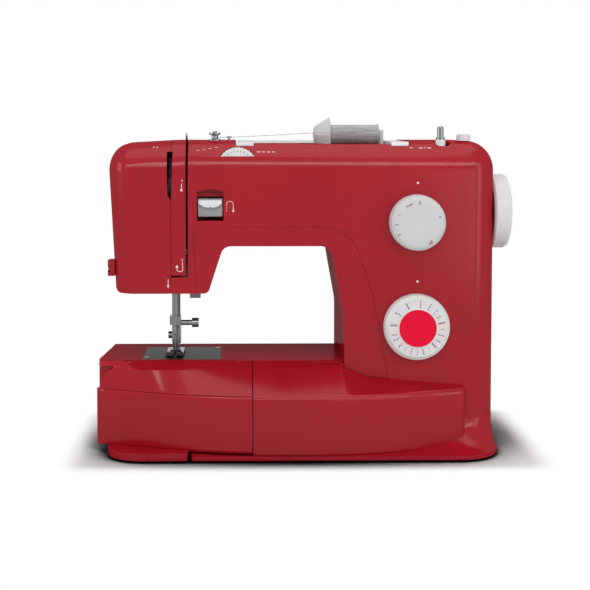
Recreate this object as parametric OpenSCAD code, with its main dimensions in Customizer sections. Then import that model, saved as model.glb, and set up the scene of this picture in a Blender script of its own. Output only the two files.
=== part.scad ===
// Free-arm sewing machine. Millimetres, +X towards the handwheel, +Y to the back, +Z up.
// The origin is under the middle of the whole machine, on the surface it stands on.

/* [Housing] */
// Left side of the head, measured from the origin
head_left = 175; // [172:0.5:178]
// Right side of the pillar, measured from the origin
pillar_right = 168; // [164:0.5:172]
// Front face of the arm, measured from the origin
face_front = 47; // [44:0.5:50]
// Back of the arm, measured from the origin
back_depth = 78; // [76:0.5:81]
// Height of the arm's top
top_height = 274; // [272:0.5:278]
// Height of the head's underside
head_bottom = 140.2; // [138:0.2:143]
// Height of the throat's ceiling
throat_height = 181.8; // [180:0.2:184]
// Rounding of the front top edge
edge_round = 26; // [20:1:28]
// Rounding of the upright right edge
side_round = 25; // [18:1:28]
// Wall thickness of the red covers
wall = 2.6; // [2:0.1:3.2]
// Gap between neighbouring covers
seam = 0.4; // [0.2:0.1:0.8]
// Where the rear cover starts behind the front cover
split_depth = 40; // [38:0.5:44]
// Depth of the panel round the throat
panel_step = 1; // [0.5:0.1:1.4]

/* [Bed] */
// Height of the bed's top
bed_height = 80.4; // [79:0.2:82]
// Left end of the bed, measured from the origin
bed_left = 185; // [182:0.5:188]
// Front of the bed at its fullest, measured from the origin
bed_front = 85; // [83:0.5:87]
// Radius of the bowed front
bow_radius = 403; // [360:1:460]
// Height of the crease where the bed's front starts to fall straight
crease_height = 56.5; // [54:0.5:59]
// Front of the free arm, measured from the origin
arm_front = 39.8; // [39:0.1:40.4]
// Back of the free arm, measured from the origin
arm_back = 49; // [47:0.5:52]
// Underside of the free arm
arm_bottom = 30; // [28:0.5:32]
// Where the extension table meets the fixed bed, left of the origin
table_seam = 47.5; // [44:0.5:52]
// Thickness of the needle plate
plate_t = 1.6; // [1.2:0.1:2]
// Height of the base rim
rim_height = 5.5; // [4:0.1:6]
// Height of the rubber feet
foot_h = 2; // [1.5:0.1:2.5]

/* [Mechanism] */
// Height of the main shaft
shaft_height = 209.6; // [208:0.2:211]
// Diameter of the main shaft
shaft_d = 12; // [10:0.5:13]
// Radial running clearance of shafts and pins
run_gap = 0.05; // [0.03:0.01:0.08]
// Radius of the crank throw, half the needle's stroke
crank_throw = 15; // [13:0.5:16]
// Place of the needle, left of the origin
needle_left = 117; // [115:0.5:119]
// Place of the needle, in front of the main shaft
needle_fwd = 14; // [13:0.5:15]
// Diameter of the needle bar
needle_bar_d = 6.4; // [6:0.1:7]
// Place of the presser bar, behind the main shaft
presser_back = 5; // [4:0.5:6]
// Diameter of the presser bar
presser_bar_d = 7; // [6.4:0.1:7.6]
// Place of the take-up lever, left of the origin
takeup_left = 105; // [104.6:0.1:105.4]
// Height of the lower shaft
lower_height = 44; // [43:0.5:46]
// Diameter of the lower shaft
lower_d = 9; // [8:0.5:10]
// Diameter of the bobbin
bobbin_d = 20.4; // [19:0.2:21]

/* [Controls] */
// Diameter of the handwheel
handwheel_d = 67.2; // [62:0.2:70]
// Width of the handwheel
handwheel_w = 16.6; // [14:0.2:16.8]
// Diameter of the stitch-length dial
stitch_d = 49; // [44:0.5:52]
// Diameter of the pattern dial
pattern_d = 58; // [52:0.5:60]
// How far the dials stand out
dial_out = 14; // [10:0.5:18]
// Diameter of the tension dial
tension_d = 35.6; // [33:0.2:37]
// Thickness of the tension dial
tension_t = 6; // [5:0.2:7]
// Width of the reverse lever
reverse_w = 21; // [18:0.5:22]

/* [Top] */
// Height of the spool pin's axis
spool_axis = 279.2; // [278.6:0.1:280]
// Diameter of the spool pin
spool_pin_d = 4.8; // [4:0.1:5.4]
// Diameter of the wound thread
thread_d = 17.6; // [15:0.2:20]
// Length of the wound thread
thread_l = 42; // [36:0.5:44]
// Diameter of the spool cap
cap_d = 31.6; // [28:0.2:32]
// Thickness of the handle
handle_t = 7; // [6:0.5:8]
// Diameter of the winder spindle
spindle_d = 5.9; // [5.4:0.1:6.4]
// Height of the winder spindle's tip
spindle_top = 287; // [284:0.5:290]
// Diameter of the bobbin stopper
stopper_d = 12.5; // [11:0.5:13]

/* [Hidden] */
$fn = 64;

RED = [0.66, 0.12, 0.18];
WHITE = [0.92, 0.92, 0.9];
GREY = [0.6, 0.61, 0.62];
STEEL = [0.75, 0.76, 0.78];
DARK = [0.15, 0.15, 0.16];

fit = 0.02;                  // gap of pieces that are fixed to each other
gap = 0.3;                   // gap between pieces that pass each other
inside = 12;                 // how far the feet, rim and tray stay inside what stands on them
tray_floor = 3.5;            // top of the tray's floor
crown_left = -117;           // where the top starts to fall towards the face cover
face_split = -119;           // middle of the joint between face cover and front cover
bow_x = -10;                 // where the bowed front is at its fullest
bulge_right = 139;           // right end of the bulge in front of the pillar
throat_right = 33.5;         // left side of the pillar
bed_gap = 0.5;               // between the free arm and what lies in front of it
table_back = -arm_front - bed_gap;
base_left = -100;            // left end of the base, under the free arm
base_front = -bed_front + 1;
base_back = 85;
base_right = pillar_right + 1.5;
needle = [-needle_left, -needle_fwd];
presser_y = presser_back;
shaft_r = shaft_d / 2;
dial_x = 96.5;               // both dials stand in one line
stitch_z = 202.9;
pattern_z = 111.1;
dial_shaft_r = 4;
handle_y = -28.8;            // pivot of the handle
handle_z = top_height - 6.5;
valley = top_height - 3.2;   // floor of the shallow dip in the top
trough = top_height - 12;    // floor under the handle and the spool
spool_y = 18;
spindle = [119.3, -31];
winder_pivot = [119.3, 10];
tension_x = -60.6;
tension_z = top_height - 23.3;
tension_y = -43.2;
reverse_x = -84.4;
reverse_y = -36;
reverse_z = 214;
hook_z = 54;
motor_y = 52;
motor_z = 46;
lid_axis = [table_back - 2.5, bed_height - 2.4];
lid_barrel = 2.4;
lid_lugs = [-158, -62];       // where the table holds the lid's hinge
grip_z = shaft_height - 35.1; // where the link holds the needle bar
lifter_axis = [33, 150];     // pivot of the presser foot lifter
lean = 5.5;                  // how far the head's left side leans inwards at its underside

// ---------- shapes that repeat ----------

// A box between two corners
module block(lo, hi) translate(lo) cube(hi - lo);

// Straight rods along the three axes, given by their ends and their place
module rod_x(x0, x1, y, z, r) translate([x0, y, z]) rotate([0, 90, 0]) cylinder(h = x1 - x0, r = r);
module rod_y(y0, y1, x, z, r) translate([x, y1, z]) rotate([90, 0, 0]) cylinder(h = y1 - y0, r = r);
module rod_z(z0, z1, x, y, r) translate([x, y, z0]) cylinder(h = z1 - z0, r = r);

// A flat outline given length along X (outline in Y and Z), Y (in X and Z) or Z (in X and Y)
module along_x(x0, x1) translate([x0, 0, 0]) rotate([90, 0, 90]) linear_extrude(x1 - x0) children();
module along_y(y0, y1) translate([0, y1, 0]) rotate([90, 0, 0]) linear_extrude(y1 - y0) children();
module along_z(z0, z1) translate([0, 0, z0]) linear_extrude(z1 - z0) children();

// A revolved profile of [radius, place] points along X or Y
module turned_x(x, y, z, profile) translate([x, y, z]) rotate([0, 90, 0]) rotate_extrude() polygon(profile);
module turned_y(x, y, z, profile) translate([x, y, z]) rotate([-90, 0, 0]) rotate_extrude() polygon(profile);
module turned_z(x, y, z, profile) translate([x, y, z]) rotate_extrude() polygon(profile);

// A path of [x, y, radius] corners with every corner rounded
function unit(v) = v / norm(v);
function wrapped(a) = a > 180 ? a - 360 : a < -180 ? a + 360 : a;
function corner(a, b, c, r, n) =
  r <= 0 ? [b] :
  let (u = unit(a - b), v = unit(c - b), half = acos(u * v) / 2)
  let (m = b + unit(u + v) * r / sin(half), p = b + u * r / tan(half) - m, q = b + v * r / tan(half) - m)
  let (from = atan2(p[1], p[0]), turn = wrapped(atan2(q[1], q[0]) - from))
  [for (i = [0:n]) m + r * [cos(from + turn * i / n), sin(from + turn * i / n)]];
function flat(p) = [p[0], p[1]];
function rounded(path, n = 8) =
  let (last = len(path) - 1)
  [for (i = [0:last])
    each corner(flat(path[i == 0 ? last : i - 1]), flat(path[i]), flat(path[i == last ? 0 : i + 1]), path[i][2], n)];

// A solid skinned over rings of points, all with the same number of points, from low to high
module loft(rings) {
  n = len(rings[0]);
  top = (len(rings) - 1) * n;
  polyhedron(
    points = [for (ring = rings) each ring],
    faces = [
      [for (i = [0:n - 1]) i],
      [for (i = [0:n - 1]) top + n - 1 - i],
      for (k = [0:len(rings) - 2], i = [0:n - 1]) each [
        [k * n + i, (k + 1) * n + i, (k + 1) * n + (i + 1) % n],
        [k * n + i, (k + 1) * n + (i + 1) % n, k * n + (i + 1) % n]
      ]
    ]
  );
}

// A round tube along a route of points
function tangent(route, i) = unit(route[min(i + 1, len(route) - 1)] - route[max(i - 1, 0)]);
module tube(route, r, sides) {
  loft([for (i = [0:len(route) - 1])
    let (t = tangent(route, i), u = unit(cross(t, [0, 0, 1])), v = cross(u, t))
    [for (k = [0:sides - 1]) route[i] + r * (u * cos(k * 360 / sides) + v * sin(k * 360 / sides))]]);
}

// ---------- the red housing ----------

// Seen from the front: head, arm and pillar round the throat
module front_outline(inset) {
  offset(delta = -inset) polygon(rounded([
    [-head_left + lean, head_bottom, 6],
    [-86.5, head_bottom, 5],
    [-73, throat_height, 9],
    [22, throat_height, 12],
    [throat_right, 118, 60],
    [throat_right, -inside, 0],
    [pillar_right + 10, -inside, 0],
    [pillar_right + 10, top_height + 10, 0],
    [-head_left - 4, top_height + 10, 0],
    [-head_left - 0.2, 243, 0]
  ]));
}

// One soft corner of the case: an eighth of a ball over a leaning column
module case_corner(x, y, top, r, shift, inset) {
  translate([x, y, top - r[2]]) scale(r - [inset, inset, inset]) rotate_extrude($fn = 40) {
    polygon(concat([[0, 0]], [for (a = [0:9:90]) [cos(a), sin(a)]]));
  }
  translate([x + shift, y, -inside]) scale([r[0] - inset, r[1] - inset, 1]) cylinder(h = 1, r = 1, $fn = 40);
}

// The case before the head and the throat are cut from it: it falls a little towards the left
module case_form(inset) {
  shift = lean * (243 + inside) / (243 - head_bottom);
  low = top_height - 2.4;
  hull() {
    case_corner(-head_left + 19, -face_front + edge_round, low, [19, edge_round, 24], shift, inset);
    case_corner(-head_left + 15, back_depth - 18, low, [15, 18, 17], shift, inset);
    case_corner(crown_left, -face_front + edge_round, top_height, [20, edge_round, edge_round], 0, inset);
    case_corner(crown_left, back_depth - 20, top_height, [20, 20, 20], 0, inset);
    case_corner(pillar_right - side_round, -face_front + edge_round, top_height, [side_round, edge_round, edge_round], 0, inset);
    case_corner(pillar_right - side_round, back_depth - 20, top_height, [side_round, 20, edge_round], 0, inset);
  }
}

module body(inset, bottom) {
  intersection() {
    along_y(-100, 100) front_outline(inset);
    case_form(inset);
    block([-300, -100, bottom], [300, 100, 300]);
  }
}

// The dips in the top: round the handle, under it and under the spool, each grown by wall thickness
module top_dips(grow) {
  block([-62.8 - grow, -60, valley - grow], [91.8 + grow, 100, 300]);
  for (x = [-62.8, 74.4]) {
    block([x - grow, handle_y - 6.5 - grow, trough - grow], [x + 17.4 + grow, 71 + grow, 300]);
  }
  block([-62.8 - grow, 50 - grow, trough - grow], [91.8 + grow, 71 + grow, 300]);
  block([-8 - grow, -1 - grow, trough - grow], [75 + grow, 38 + grow, 300]);
}

// The bed's bowed front, in plan
function bow(x) = -bed_front + bow_radius - sqrt(bow_radius * bow_radius - (x - bow_x) * (x - bow_x));

// Height of the bed's top at its back, as a share of what stands above the crease: flat, then a hollow slope
shelf = [
  [31, 1], [34, 0.86], [38, 0.73], [44, 0.6], [52, 0.48], [62, 0.39],
  [75, 0.32], [90, 0.245], [105, 0.18], [120, 0.137], [139, 0.11]
];

// One slice of the bed across its depth, from the back over the top and down its front.
// f is the front edge, end says how near the slice is to the rounded left end.
function bed_slice(x, f, end, inset, low) =
  let (back = (x > -table_seam ? -arm_front - fit : table_back) - inset)
  let (k = min(1, (back - f) / 11), rim = crease_height + 1.2)
  let (top = rim + (bed_height - rim) * lookup(x, shelf) - inset, drop = lookup(x, [[31, 0.3], [38, 1.8]]))
  let (w = lookup(x, [[31, 0.76], [60, 0.62], [139, 0.5]]))
  [
    [x + 3 * end, back, top],
    [x + 3 * end, max(min(lookup(x, [[31, -42], [38, -face_front + 0.8]]), back - 1), f + 10.5 * k), top],
    [x + 3 * end, max(min(lookup(x, [[31, -44], [38, -face_front - 3]]), back - 2.2), f + 9 * k), top - drop],
    [x + 0.4 * end, max(-57, f + 6 * k), rim + (top - drop - rim) * w],
    [x, f + 3 * k, rim],
    [x, f + 1.5 * k, crease_height + 0.1],
    [x, f + 0.4 * k, crease_height - 1.5],
    [x, f, crease_height - 3.5],
    [x, f, low + 2],
    [x, f + k, low],
    [x, back, low]
  ];

// The table in front of the free arm, with its rounded left end
module table_form() {
  from = table_left + 14;
  deep = table_back - 1 - bow(from);
  loft(concat(
    [for (a = [0:15:90]) bed_slice(from - 14 * cos(a), table_back - 1 - deep * sin(a), cos(a), 0, rim_height + 2)],
    [for (i = [1:12]) let (x = from + (table_right - from) * i / 12) bed_slice(x, bow(x), 0, 0, rim_height + 2)]
  ));
}

// The room under the lid
module table_hollow() {
  loft([for (i = [0:7]) let (x = -149.2 + (table_right - wall + 149.2) * i / 7)
    bed_slice(x, bow(x) + wall, i == 0 ? 0.8 : 0, wall, rim_height)]);
}

// The fixed bed beside the table, in front of the pillar too
module bulge_form() {
  loft(concat(
    [for (x = [-table_seam + seam, -36, -24, -12, 0, 12, 22, 31, 34, 38, 44, 52, 62, 75, 90, 105, 120, bulge_right - 4])
      bed_slice(x, bow(x), 0, 0, rim_height)],
    [for (a = [22.5:22.5:90]) let (x = bulge_right - 4 + 4 * sin(a)) bed_slice(x, bow(x) + 4 * (1 - cos(a)), 0, 0, rim_height)]
  ));
}

module bulge() {
  difference() {
    union() {
      bulge_form();
      flare();
    }
    along_z(-1, crease_height - wall) offset(delta = -wall) polygon(concat(
      [[-table_seam + seam, table_back]],
      [[-table_seam + seam, bow(-table_seam + seam)]],
      [for (x = [-36:12:132]) [x, bow(x)]],
      [[bulge_right, bow(bulge_right)]],
      [[bulge_right, table_back]]
    ));
  }
}

// The bores and bosses that the front cover holds
module dial_boss(z) rod_y(-face_front + 1.5, -31.5, dial_x, z, dial_shaft_r + 4);
module dial_bore(z) rod_y(-face_front - 5, -30, dial_x, z, dial_shaft_r + run_gap);

module throat_panel() {
  along_y(-face_front - 2, -face_front + panel_step) polygon(rounded([
    [-100, throat_height + 17.7, 3],
    [-97, 120, 0],
    [73, 50, 0],
    [73, 62, 0],
    [58, 142, 120],
    [38, throat_height + 17.7, 34]
  ]));
}

// The slots of the thread's way: down on the right, round the tongue, up on the left
module thread_slots() {
  right = -takeup_left + 1.05;
  block([-takeup_left - 1.05, -100, 154.6], [right, -22, 300]);
  block([face_split, -100, 154.6], [right, -face_front + 8, 156.2]);
  along_y(-100, -30) polygon([
    [face_split - 3.4, top_height - 9.4], [face_split - 2.9, 227.5], [face_split - 0.2, 222],
    [face_split + 0.4, 222], [face_split + 1.6, top_height - 9.4]
  ]);
}

module reverse_pocket() {
  w = reverse_w + 2.2;
  block([reverse_x - w / 2, -60, reverse_z - 9.8], [reverse_x + w / 2, -31, reverse_z + 11.2]);
  intersection() {
    block([reverse_x - w / 2, -60, reverse_z + 8.9], [reverse_x + w / 2, -40, reverse_z + 18]);
    rod_y(-60, -39, reverse_x, reverse_z - 12, 30);
  }
}

module head_opening() {
  block([-165, -20, 130], [-129, 20, head_bottom + 8]);
  block([-129.1, -36, 130], [-93, 30, head_bottom + 8]);
  block([-129.1, 29, 130], [-92, 60, head_bottom + 8]);
}

// Where the bed's beam and shaft go into the pillar
module bed_opening() block([25, -36, 31], [39, 46, 76]);

// The foot of the pillar runs out over the base beside the bulge
module flare() {
  rise = [
    [0, 37, 38, 20], [1.2, 26, 36, 86], [3.5, 19.5, 34, 107], [7, 13.5, 32, 125],
    [11.5, 8, 30, 137.4], [17, 3.5, 28, 137.8], [24, 0.6, 25.8, 138.2]
  ];
  loft([for (k = rise)
    let (front = -face_front - k[1], r = k[2], z = rim_height + k[0], c = [pillar_right - r, front + r], left = k[3])
    concat(
      [[137, -38, z], [left, left < 130 ? bow(left) + 1 : front + 2.5, z]],
      [[left < 130 ? left + 6 : left + 0.6, front, z]],
      [for (a = [-90:10:0]) [c[0] + r * cos(a), c[1] + r * sin(a), z]],
      [[pillar_right, -6, z]]
    )]);
}

module front_half() block([face_split + seam / 2, -100, 0], [300, split_depth, 300]);

module front_cover() {
  tub = reverse_w / 2 + 3.6;
  color(RED) difference() {
    union() {
      difference() {
        intersection() {
          body(0, rim_height);
          front_half();
        }
        difference() {
          body(wall, -5);
          top_dips(wall);
        }
        top_dips(0);
      }
      bulge();
      dial_boss(stitch_z);
      dial_boss(pattern_z);
      block([reverse_x - tub, -face_front + 1.5, reverse_z - 12], [reverse_x + tub, -32, reverse_z + 20]);
      rod_z(top_height - 18, top_height - 1.5, winder_pivot[0], winder_pivot[1], 6);
    }
    intersection() {
      body(wall, -5);
      block([throat_right, -face_front, -5], [300, 0, 90]);
    }
    dial_bore(stitch_z);
    dial_bore(pattern_z);
    throat_panel();
    thread_slots();
    reverse_pocket();
    rod_x(reverse_x - 20, reverse_x + 20, reverse_y, reverse_z, 2 + run_gap);
    head_opening();
    rod_y(tension_y - 0.5, tension_y + tension_t + 0.5, tension_x, tension_z, tension_d / 2 + 0.5);
    rod_x(pillar_right - 10, pillar_right + 10, 0, shaft_height, shaft_r + 4);
    for (x = [-66, 95]) rod_x(x - 4, x + 4, handle_y, handle_z, 2.5 + run_gap);
    rod_z(top_height - 24, top_height - 6, winder_pivot[0], winder_pivot[1], 3 + run_gap);
    for (turn = [0, 2.7, 5.4]) {
      translate(winder_pivot) rotate(turn) rod_z(240, 300, 0, spindle[1] - winder_pivot[1], 4.8);
    }
    rod_z(240, 300, 141.3, -22, 3 + fit);
    rod_z(top_height - 3 - fit, 300, -81, -17, 2 + fit);
    rod_z(top_height - 2 - fit, 300, -68.2, -17, 1.2 + fit);
    block([pillar_right - 13, -2.5 - fit, 43.5 - fit], [pillar_right + 12, 34.5 + fit, 94.5 + fit]);
    bed_opening();
  }
}

module rear_cover() {
  color(RED) difference() {
    intersection() {
      body(0, rim_height);
      block([face_split + seam / 2, split_depth + seam, 0], [300, 100, 300]);
    }
    difference() {
      body(wall, -5);
      top_dips(wall);
    }
    top_dips(0);
    for (z = [24:8:72]) block([70, 60, z], [130, 90, z + 3.5]);
    for (p = rear_screws) {
      rod_y(60, 90, p[0], p[1], 1.6);
      rod_y(back_depth - 2, 90, p[0], p[1], 3.2);
    }
    head_opening();
    block([25, 30, 29.5], [39, arm_back + gap, bed_height + gap]);
  }
}

rear_screws = [[-100, 165], [-100, 235], [30, 200], [150, 235], [150, 30], [55, 30]];

module face_cover() {
  color(RED) difference() {
    intersection() {
      body(0, 100);
      block([-300, -100, 0], [face_split - seam / 2, 100, 300]);
    }
    body(wall, 0);
    thread_slots();
    head_opening();
    cutter_block(fit);
    rod_x(-180, -160, 22, 205, 1.6);
    rod_x(-180, -head_left + 3.4, 22, 205, 3.2);
  }
}

module cover_screws() {
  color(STEEL) {
    for (p = rear_screws) {
      rod_y(back_depth - 1.98, back_depth - 0.4, p[0], p[1], 3);
      rod_y(back_depth - 10, back_depth - 1.9, p[0], p[1], 1.5);
    }
    rod_x(-head_left + 1.4, -head_left + 3.38, 22, 205, 3);
    rod_x(-head_left + 3.3, -head_left + 12, 22, 205, 1.5);
  }
}

// The thread cutter on the end of the head
module cutter_block(grow) block([-176 - grow, -31 - grow, 154 - grow], [-170 + grow, -19 + grow, 168 + grow]);
module thread_cutter() {
  color(WHITE) difference() {
    cutter_block(0);
    translate([-175, -40, 157]) rotate([0, -25, 0]) cube([1.2, 30, 8]);
  }
}

// The narrow bed that the needle works on
arm_left = 184;
module arm_form(inset, low) {
  intersection() {
    along_x(-200, throat_right - fit) offset(delta = -inset) polygon(rounded([
      [-arm_front, low, 0],
      [arm_back, low, 0],
      [arm_back, bed_height, 12],
      [-arm_front, bed_height, 0]
    ]));
    along_z(0, 100) offset(delta = -inset) polygon(rounded([
      [-arm_left, -arm_front, 5],
      [100, -arm_front, 0],
      [100, arm_back, 0],
      [-arm_left + 8, arm_back, 12]
    ]));
  }
}

plate_left = 145;
plate_right = -76;
plate_y = [-38, 21];
module free_arm_cover() {
  color(RED) difference() {
    arm_form(0, arm_bottom);
    arm_form(wall, 0);
    block([-plate_left - fit, plate_y[0] - fit, bed_height - plate_t], [plate_right + fit, plate_y[1] + fit, 100]);
    block([-plate_left + 5, plate_y[0] + 4, 70], [plate_right - 5, plate_y[1] - 3, 100]);
    block([-140, -50, 33.5], [-94, -30, 74]);
    for (p = plate_screw_at) rod_z(70, 90, p[0], p[1], 1.6);
  }
}

module hook_cover() {
  color(WHITE) difference() {
    block([-140 + fit, -arm_front, 33.5 + fit], [-94 - fit, -arm_front + 2, 74 - fit]);
    rod_y(-60, -arm_front + 1, -117, 70, 6);
  }
}

plate_screw_at = [[-141.8, -30], [-79.2, 15]];
module needle_plate() {
  color(STEEL) difference() {
    block([-plate_left, plate_y[0], bed_height - plate_t], [plate_right, plate_y[1], bed_height]);
    block([needle[0] - 4.6, needle[1] - 1.3, 70], [needle[0] + 4.6, needle[1] + 1.3, 90]);
    for (dx = [-6.8, 6.8]) block([needle[0] + dx - 1.6, -29, 70], [needle[0] + dx + 1.6, 1, 90]);
    for (p = plate_screw_at) rod_z(70, 90, p[0], p[1], 1.6);
    for (p = plate_screw_at) rod_z(bed_height - 0.8, 90, p[0], p[1], 3);
  }
}

module plate_screws() {
  color(GREY) for (p = plate_screw_at) difference() {
    union() {
      rod_z(bed_height - 0.79, bed_height + 0.6, p[0], p[1], 2.9);
      rod_z(bed_height - 8, bed_height - 0.7, p[0], p[1], 1.5);
    }
    block([p[0] - 4, p[1] - 0.5, bed_height + 0.1], [p[0] + 4, p[1] + 0.5, bed_height + 2]);
  }
}

// ---------- the base, the table and its lid ----------

tray_left = base_left;
module base_tray() {
  color(RED) difference() {
    along_z(foot_h, rim_height) polygon(rounded([
      [tray_left, base_front, 3],
      [pillar_right + 0.5, base_front, 38],
      [pillar_right + 0.5, base_back, 14],
      [tray_left, base_back, 14]
    ], 12));
    block([40, -30, tray_floor], [160, 72, 20]);
    block([-90, -36, tray_floor], [25, 72, 20]);
  }
}

feet_at = [[-83, -70], [17, -72], [122, -64], [-84, 70], [150, 68]];
module rubber_feet() {
  color(DARK) for (p = feet_at) turned_z(p[0], p[1], 0, [[0, 0], [6, 0], [7, 0.8], [7, foot_h], [0, foot_h]]);
}

table_right = -table_seam - seam;
table_left = -bed_left;
plinth_right = -103;

// The table's outline in plan
module table_plan(inset) {
  front = bow(table_left + 14);
  offset(delta = -inset) polygon(concat(
    [[table_left, table_back]],
    [for (a = [0:15:90]) [table_left + 14 - 14 * cos(a), table_back - 1 + (front - table_back + 1) * sin(a)]],
    [for (i = [1:14]) let (x = table_left + 14 + (table_right - table_left - 14) * i / 14) [x, bow(x)]],
    [[table_right, table_back]]
  ));
}

module extension_table() {
  color(RED) difference() {
    union() {
      intersection() {
        table_form();
        block([-300, -100, 0], [0, 0, crease_height - 0.2]);
      }
      along_z(foot_h, rim_height + 3) polygon(rounded([
        [-bed_left + 11, base_front, 30],
        [plinth_right, base_front, 2],
        [plinth_right, table_back - 2, 0],
        [-bed_left + 11, table_back - 2, 0]
      ]));
      block([-178, -42.4, 20], [table_right - 3, table_back - 0.1, lid_axis[1] - lid_barrel - gap]);
      for (x = lid_lugs) {
        rod_x(x, x + 4, lid_axis[0], lid_axis[1], lid_barrel);
        block([x, lid_axis[0], 60], [x + 4, table_back - 0.1, lid_axis[1]]);
      }
      rod_x(lid_lugs[0] + 3, lid_lugs[0] + 7.5, lid_axis[0], lid_axis[1], 1.1);
      rod_x(lid_lugs[1] - 3.5, lid_lugs[1] + 1, lid_axis[0], lid_axis[1], 1.1);
    }
    intersection() {
      along_z(10, 70) table_plan(wall);
      block([-300, -100, 0], [0, -42.4, 100]);
    }
  }
}

module table_foot() {
  color(DARK) turned_z(-160, -60, 0, [[0, 0], [6, 0], [7, 0.8], [7, foot_h], [0, foot_h]]);
}

module storage_lid() {
  hinge = [lid_lugs[0] + 4 + gap, lid_lugs[1] - gap];
  color(RED) difference() {
    union() {
      difference() {
        intersection() {
          table_form();
          block([-300, -100, crease_height + 0.2], [0, 0, 100]);
        }
        block([-300, lid_axis[0] - 2.8, 0], [0, 0, lid_axis[1] - lid_barrel + 0.2]);
        block([-300, lid_axis[0], 0], [0, 0, lid_axis[1] - 1.2]);
      }
      rod_x(hinge[0], hinge[1], lid_axis[0], lid_axis[1], lid_barrel);
    }
    difference() {
      intersection() {
        table_hollow();
        block([-300, -100, 0], [0, lid_axis[0] - 2.5, 100]);
      }
      rod_x(hinge[0], hinge[1], lid_axis[0], lid_axis[1], lid_barrel);
    }
    difference() {
      block([-300, lid_axis[0], 60], [0, 0, 100]);
      rod_x(-301, 1, lid_axis[0], lid_axis[1], 2.75);
    }
    for (x = lid_lugs) block([x - gap, lid_axis[0] - 3, 60], [x + 4 + gap, 0, 100]);
    for (x = hinge) rod_x(x - 5, x + 5, lid_axis[0], lid_axis[1], 1.1 + run_gap);
  }
}

// ---------- frame, shafts and drive ----------

plate_front = 22;
plate_back = 28;
bearing_at = [[-84, -74], [108, 118]];
module bearing(x0, x1, z, r) {
  rod_x(x0, x1, 0, z, r);
  block([x0, 0, z - r + 2], [x1, plate_front + 1, z + r - 2]);
}

module cast_frame() {
  color(GREY) difference() {
    union() {
      block([-112, plate_front, 188], [120, plate_back, 236]);
      block([42, plate_front, 20], [120, plate_back, 200]);
      block([42, -10, tray_floor], [116, plate_back, 20]);
      block([-160, plate_front, 34], [60, plate_back, 62]);
      block([-124, plate_front, 145], [-90, plate_back, 258]);
      block([-70, plate_front, 230], [-50, plate_back, 257]);
      for (b = bearing_at) bearing(b[0], b[1], shaft_height, 11);
      bearing(30, 38, shaft_height, 11);
      bearing(-64, -54, lower_height, 8);
      bearing(20, 28, lower_height, 8);
      for (z = [145, 225]) block([-124, -1, z], [-110, plate_front + 1, z + 8]);
      rod_y(-3.7, plate_front + 1, needle[0], 252, 5.6);
      block([-99, -3, 240], [-89, plate_front + 1, 254]);
      block([-124, plate_back - 1, lifter_axis[1] - 5], [-107, lifter_axis[0] + 6, lifter_axis[1] + 7]);
      block([66, plate_back - 1, 36], [74, motor_y - 15, 56]);
    }
    for (b = bearing_at) rod_x(b[0] - 1, b[1] + 1, 0, shaft_height, 8);
    rod_x(29, 39, 0, shaft_height, shaft_r + 1);
    rod_x(-70, 40, 0, lower_height, lower_d / 2 + run_gap);
    rod_z(140, 240, -needle_left, presser_y, presser_bar_d / 2 + run_gap);
    rod_y(-10, 12, needle[0], 252, 3 + run_gap);
    rod_x(-100, -85, 4, 247, 3 + run_gap);
    rod_x(-130, -100, lifter_axis[0], lifter_axis[1], 3 + run_gap);
    rod_y(0, 40, tension_x, tension_z, 3);
  }
}

module shaft_bushings() {
  color([0.72, 0.52, 0.3]) for (b = bearing_at) difference() {
    rod_x(b[0], b[1], 0, shaft_height, 7.99);
    rod_x(b[0] - 1, b[1] + 1, 0, shaft_height, shaft_r + run_gap);
  }
}

module toothed_wheel(x0, x1, y, z, r) {
  for (x = [x0, x1 - 1]) rod_x(x, x + 1, y, z, r + 1.6);
  along_x(x0, x1) translate([y, z]) difference() {
    circle(r);
    for (i = [0:17]) rotate(i * 20) translate([r, 0]) square([1.6, r * 0.17], center = true);
  }
}

module main_shaft() {
  color(STEEL) {
    rod_x(-92, pillar_right + 7, 0, shaft_height, shaft_r);
    toothed_wheel(91, 101, 0, shaft_height, 13);
  }
}

module lower_shaft() {
  color(STEEL) {
    rod_x(-92, 104, 0, lower_height, lower_d / 2);
    toothed_wheel(91, 101, 0, lower_height, 13);
  }
}

module belt_loop(x0, x1, y0, z0, r0, y1, z1, r1, t) {
  along_x(x0, x1) difference() {
    hull() {
      translate([y0, z0]) circle(r0 + t);
      translate([y1, z1]) circle(r1 + t);
    }
    hull() {
      translate([y0, z0]) circle(r0);
      translate([y1, z1]) circle(r1);
    }
  }
}

module timing_belt() color(DARK) belt_loop(92.4, 99.6, 0, shaft_height, 13.3, 0, lower_height, 13.3, 1.2);
module drive_belt() color(DARK) belt_loop(pillar_right - 35, pillar_right - 29, 0, shaft_height, 28.4, motor_y, motor_z, 7.3, 1.3);

module handwheel() {
  p = pillar_right;
  r = handwheel_d / 2;
  color(WHITE) turned_x(0, 0, shaft_height, [
    [shaft_r, p - 38], [30, p - 38], [30, p - 36], [28, p - 35.4], [28, p - 28.6], [30, p - 28], [30, p - 26], [9.5, p - 26],
    [9.5, p + 3], [27, p + 3], [27, p + 0.6], [r - 1.8, p + 0.6], [r, p + 2.2], [r, p + handwheel_w - 3.6],
    [r - 1.2, p + handwheel_w - 1.1], [r - 4.4, p + handwheel_w],
    [26, p + 17], [24, p + 15.5], [10, p + 15.5], [9, p + 17], [0, p + 17], [0, p + 7], [shaft_r, p + 7]
  ]);
}

module motor() {
  color(DARK) difference() {
    union() {
      rod_x(60, 112, motor_y, motor_z, 21);
      rod_x(111, 118, motor_y, motor_z, 9);
    }
    rod_x(108, 119, motor_y, motor_z, 3 + run_gap);
    block([66, 30, 36], [74, motor_y - 15, 56]);
  }
}

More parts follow.
